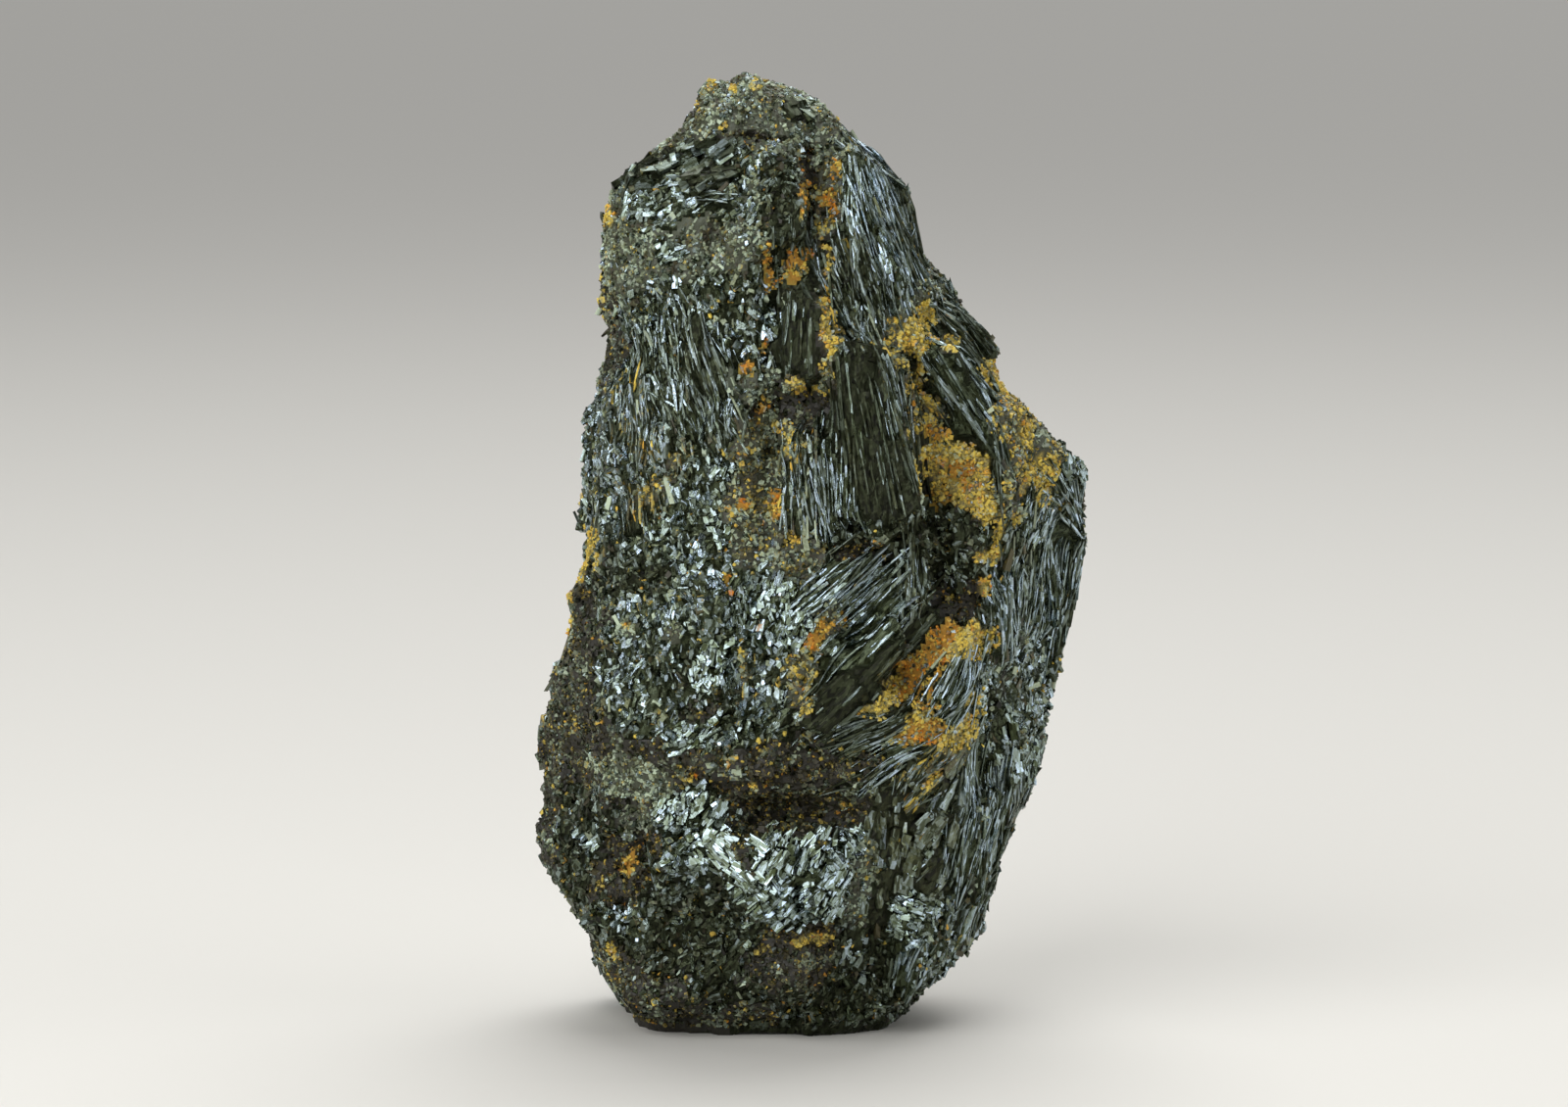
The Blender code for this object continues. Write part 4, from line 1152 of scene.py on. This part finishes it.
def grow(name, form, rear, shapes):
    """One piece: a crystal of one of the shapes at each seed of its form."""
    rng = np.random.default_rng(SEED + sum(map(ord, name)))
    found = seeds(bpy.context.scene.stibnite_crystals.cover)
    place_of_form = list(FORMS).index(form)
    mine = (found.form == place_of_form) & (found.rear == rear)
    at = Seeds(*(values[mine] for values in found))
    lie = laid(at, form, rng)
    kinds = rng.integers(0, len(shapes), len(at.points))
    shifts = rng.uniform(0, PATTERN_SHIFT_MM, at.points.shape)
    finish_and_painted_shade = finishes(at, form, lie.facing, rng)
    all_points, all_corners, all_crystal, all_finish_and_painted_shade = [], [], [], []
    total = 0
    for kind, (shape, corners) in enumerate(shapes):
        some = np.flatnonzero(kinds == kind)
        own = shape[None] * lie.sizes[some, None]
        place = lie.middle[some, None] + own[..., :1] * lie.across[some, None]
        place = place + own[..., 1:2] * lie.out[some, None] + own[..., 2:] * lie.along[some, None]
        w = np.broadcast_to(shape[None, :, 2], own.shape[:2])
        rise = lie.bed[some, :1] + lie.bed[some, 1:2] * w + lie.bed[some, 2:] * w ** 2
        place = place + rise[..., None] * at.normals[some, None]
        if form != "grain":
            ends = place[:, np.abs(shape[:, 2]) > END]
            seated = skin().gap(ends).max(axis=1) < MOST_GAP_MM
            some, own, place = some[seated], own[seated], place[seated]
        all_points.append(place.reshape(-1, 3))
        all_crystal.append((own + shifts[some, None]).reshape(-1, 3))
        # The foot of each crystal takes more ochre and is darkened with painted shade, its lowest
        # points most.
        sunk = np.clip(0.5 - shape[:, 1], 0, 1)[None, :, None]
        all_finish_and_painted_shade.append((finish_and_painted_shade[some, None] * (1 + sunk * GAP_OCHRE_AND_PAINTED_SHADE)).reshape(-1, 4))
        first = total + np.arange(len(some)) * len(shape)
        all_corners.append((corners[None] + first[:, None, None]).reshape(-1, 3))
        total += len(some) * len(shape)
    points = np.clip(np.concatenate(all_points), LOW_MM + (0, 0, FLOOR_GAP_MM), HIGH_MM)
    obj = joined(name, points * MM, np.concatenate(all_corners), materials()[place_of_form])
    store(obj.data, np.concatenate(all_crystal), np.concatenate(all_finish_and_painted_shade))
    return obj


def joined(name, points, corners, material):
    """One mesh object from arrays of points and of triangles' corners."""
    mesh = bpy.data.meshes.new(name)
    mesh.vertices.add(len(points))
    mesh.vertices.foreach_set("co", points.astype(np.float32).ravel())
    mesh.loops.add(corners.size)
    mesh.loops.foreach_set("vertex_index", corners.astype(np.int32).ravel())
    mesh.polygons.add(len(corners))
    mesh.polygons.foreach_set("loop_start", np.arange(0, corners.size, 3, dtype=np.int32))
    mesh.update(calc_edges=True)
    mesh.shade_flat()
    mesh.materials.append(material)
    obj = bpy.data.objects.new(name, mesh)
    bpy.context.scene.collection.objects.link(obj)
    finish_piece(obj)
    return obj


def grow_both(title, form, make):
    """Two pieces of one form: the front's, and that of the sides and back."""
    shapes = broken_shapes(make, FORMS[form].first_seed)
    return grow(title + "_front", form, False, shapes), grow(title + "_rear", form, True, shapes)


class STIBNITE_OT_laths(bpy.types.Operator):
    """Grow the striated laths of the blades and sheaves"""

    bl_idname = "stibnite.laths"
    bl_label = "Laths"

    def execute(self, context):
        grow_both("laths", "lath", lath)
        return {"FINISHED"}


class STIBNITE_OT_chips(bpy.types.Operator):
    """Strew the cleavage chips of the massive ground"""

    bl_idname = "stibnite.chips"
    bl_label = "Cleavage Chips"

    def execute(self, context):
        grow_both("chips", "chip", chip)
        return {"FINISHED"}


class STIBNITE_OT_plates(bpy.types.Operator):
    """Set the bright cleavage plates of the rosettes"""

    bl_idname = "stibnite.plates"
    bl_label = "Cleavage Plates"

    def execute(self, context):
        grow_both("plates", "plate", chip)
        return {"FINISHED"}


class STIBNITE_OT_grains(bpy.types.Operator):
    """Strew the grains of the gangue"""

    bl_idname = "stibnite.grains"
    bl_label = "Gangue Grains"

    def execute(self, context):
        grow_both("gangue", "grain", grain)
        return {"FINISHED"}


class STIBNITE_OT_crumbs(bpy.types.Operator):
    """Fill the seams with crumbs of ochre"""

    bl_idname = "stibnite.crumbs"
    bl_label = "Ochre Crumbs"

    def execute(self, context):
        for crumbs in grow_both("ochre", "crumb", crumb):
            crumbs.data.shade_smooth()
        return {"FINISHED"}


class StageSettings(bpy.types.PropertyGroup):
    """The floor and the camera."""

    floor_radius: number(
        "Floor radius", "Half the width of the floor", 15.0, 1.0, 100.0, unit="LENGTH"
    )
    lens: number("Lens", "Focal length of the camera", 120.0, 20.0, 300.0, unit="CAMERA")
    elevation: number(
        "Elevation", "How far the camera looks down", math.radians(7), 0.0, math.radians(90),
        subtype="ANGLE",
    )
    view_width: number(
        "View width", "Width of the view at the specimen", 0.215, 0.05, 2.0, unit="LENGTH"
    )


SENSOR = 36.0
VIEW_CENTRE = Vector((0.0, 0.0, 64 * MM))
FLOOR_SIDES = 96

# Soft lights: name, direction seen from the specimen (right, back, up), distance, side, watts.
Lamp = namedtuple("Lamp", "name toward distance side watts")
LAMPS = [
    Lamp("key", (-0.62, -0.72, 0.62), 1.0, 1.0, 9.5),
    Lamp("right", (1.0, -0.25, 0.28), 0.8, 0.7, 2.4),
    Lamp("top", (0.1, 0.25, 1.0), 1.1, 1.2, 5.0),
]
# A broad light from above and behind keeps the floor pale as far as it is seen.
SUN_FROM = (0.15, 0.65, 0.9)
SUN_STRENGTH = 1.8
SUN_BREADTH = 60.0  # degrees
WORLD_COLOUR = (0.92, 0.96, 1.0, 1.0)
WORLD_STRENGTH = 0.02


def aimed(context, data, toward, distance):
    """A lamp or camera this far out from the specimen, looking back at it."""
    obj = bpy.data.objects.new(data.name, data)
    obj.location = VIEW_CENTRE + toward * distance
    obj.rotation_euler = toward.to_track_quat("Z", "Y").to_euler()
    context.scene.collection.objects.link(obj)
    return obj


class STIBNITE_OT_stage(bpy.types.Operator):
    """Set the floor, the soft lights and the camera"""

    bl_idname = "stibnite.stage"
    bl_label = "Stage"

    def execute(self, context):
        settings = context.scene.stibnite_stage
        self.floor(context, settings)
        self.lights(context)
        self.camera(context, settings)
        return {"FINISHED"}

    def floor(self, context, settings):
        """A broad floor of matt painted board, pale and without gloss."""
        bm = bmesh.new()
        bmesh.ops.create_circle(
            bm, cap_ends=True, segments=FLOOR_SIDES, radius=settings.floor_radius
        )
        mesh = bpy.data.meshes.new("floor")
        bm.to_mesh(mesh)
        bm.free()
        floor = bpy.data.objects.new("floor", mesh)
        material, tree, shader = new_material("studio_floor_matt")
        feed(tree, shader, {
            "Base Color": context.scene.stibnite_colours.floor, "Roughness": 0.8,
        })
        mesh.materials.append(material)
        context.scene.collection.objects.link(floor)

    def lights(self, context):
        for lamp in LAMPS:
            light = bpy.data.lights.new(lamp.name, "AREA")
            light.size = lamp.side
            light.energy = lamp.watts
            aimed(context, light, Vector(lamp.toward).normalized(), lamp.distance)
        sun = bpy.data.lights.new("floor_light", "SUN")
        sun.energy = SUN_STRENGTH
        sun.angle = math.radians(SUN_BREADTH)
        obj = bpy.data.objects.new("floor_light", sun)
        obj.rotation_euler = Vector(SUN_FROM).to_track_quat("Z", "Y").to_euler()
        context.scene.collection.objects.link(obj)
        world = bpy.data.worlds.new("studio")
        world.use_nodes = True
        feed(world.node_tree, world.node_tree.nodes["Background"], {
            "Color": WORLD_COLOUR, "Strength": WORLD_STRENGTH,
        })
        context.scene.world = world
        context.scene.view_settings.view_transform = "Standard"

    def camera(self, context, settings):
        camera = bpy.data.cameras.new("camera")
        camera.lens = settings.lens
        camera.sensor_width = SENSOR
        back = Vector((0, -math.cos(settings.elevation), math.sin(settings.elevation)))
        distance = settings.view_width * settings.lens / SENSOR
        context.scene.camera = aimed(context, camera, back, distance)


class STIBNITE_PT_panel(bpy.types.Panel):
    """The settings, and an operator for each group of pieces"""

    bl_label = "Stibnite Specimen"
    bl_idname = "STIBNITE_PT_panel"
    bl_space_type = "VIEW_3D"
    bl_region_type = "UI"
    bl_category = "Stibnite"

    def draw(self, context):
        layout = self.layout
        for group in SETTINGS:
            box = layout.box()
            for name in group.__annotations__:
                box.prop(getattr(context.scene, SETTINGS[group]), name)
        for operator in OPERATORS:
            layout.operator(operator.bl_idname)


SETTINGS = {
    GroundSettings: "stibnite_ground",
    CrystalSettings: "stibnite_crystals",
    ColourSettings: "stibnite_colours",
    StageSettings: "stibnite_stage",
}
OPERATORS = (
    STIBNITE_OT_ground,
    STIBNITE_OT_laths,
    STIBNITE_OT_chips,
    STIBNITE_OT_plates,
    STIBNITE_OT_grains,
    STIBNITE_OT_crumbs,
    STIBNITE_OT_stage,
)


def register():
    for group, name in SETTINGS.items():
        bpy.utils.register_class(group)
        setattr(bpy.types.Scene, name, PointerProperty(type=group))
    for operator in OPERATORS:
        bpy.utils.register_class(operator)
    bpy.utils.register_class(STIBNITE_PT_panel)


def unregister():
    bpy.utils.unregister_class(STIBNITE_PT_panel)
    for operator in reversed(OPERATORS):
        bpy.utils.unregister_class(operator)
    for group, name in SETTINGS.items():
        delattr(bpy.types.Scene, name)
        bpy.utils.unregister_class(group)


def main():
    register()
    bpy.ops.stibnite.ground()
    bpy.ops.stibnite.laths()
    bpy.ops.stibnite.chips()
    bpy.ops.stibnite.plates()
    bpy.ops.stibnite.grains()
    bpy.ops.stibnite.crumbs()
    bpy.ops.stibnite.stage()


if __name__ == "__main__":
    main()
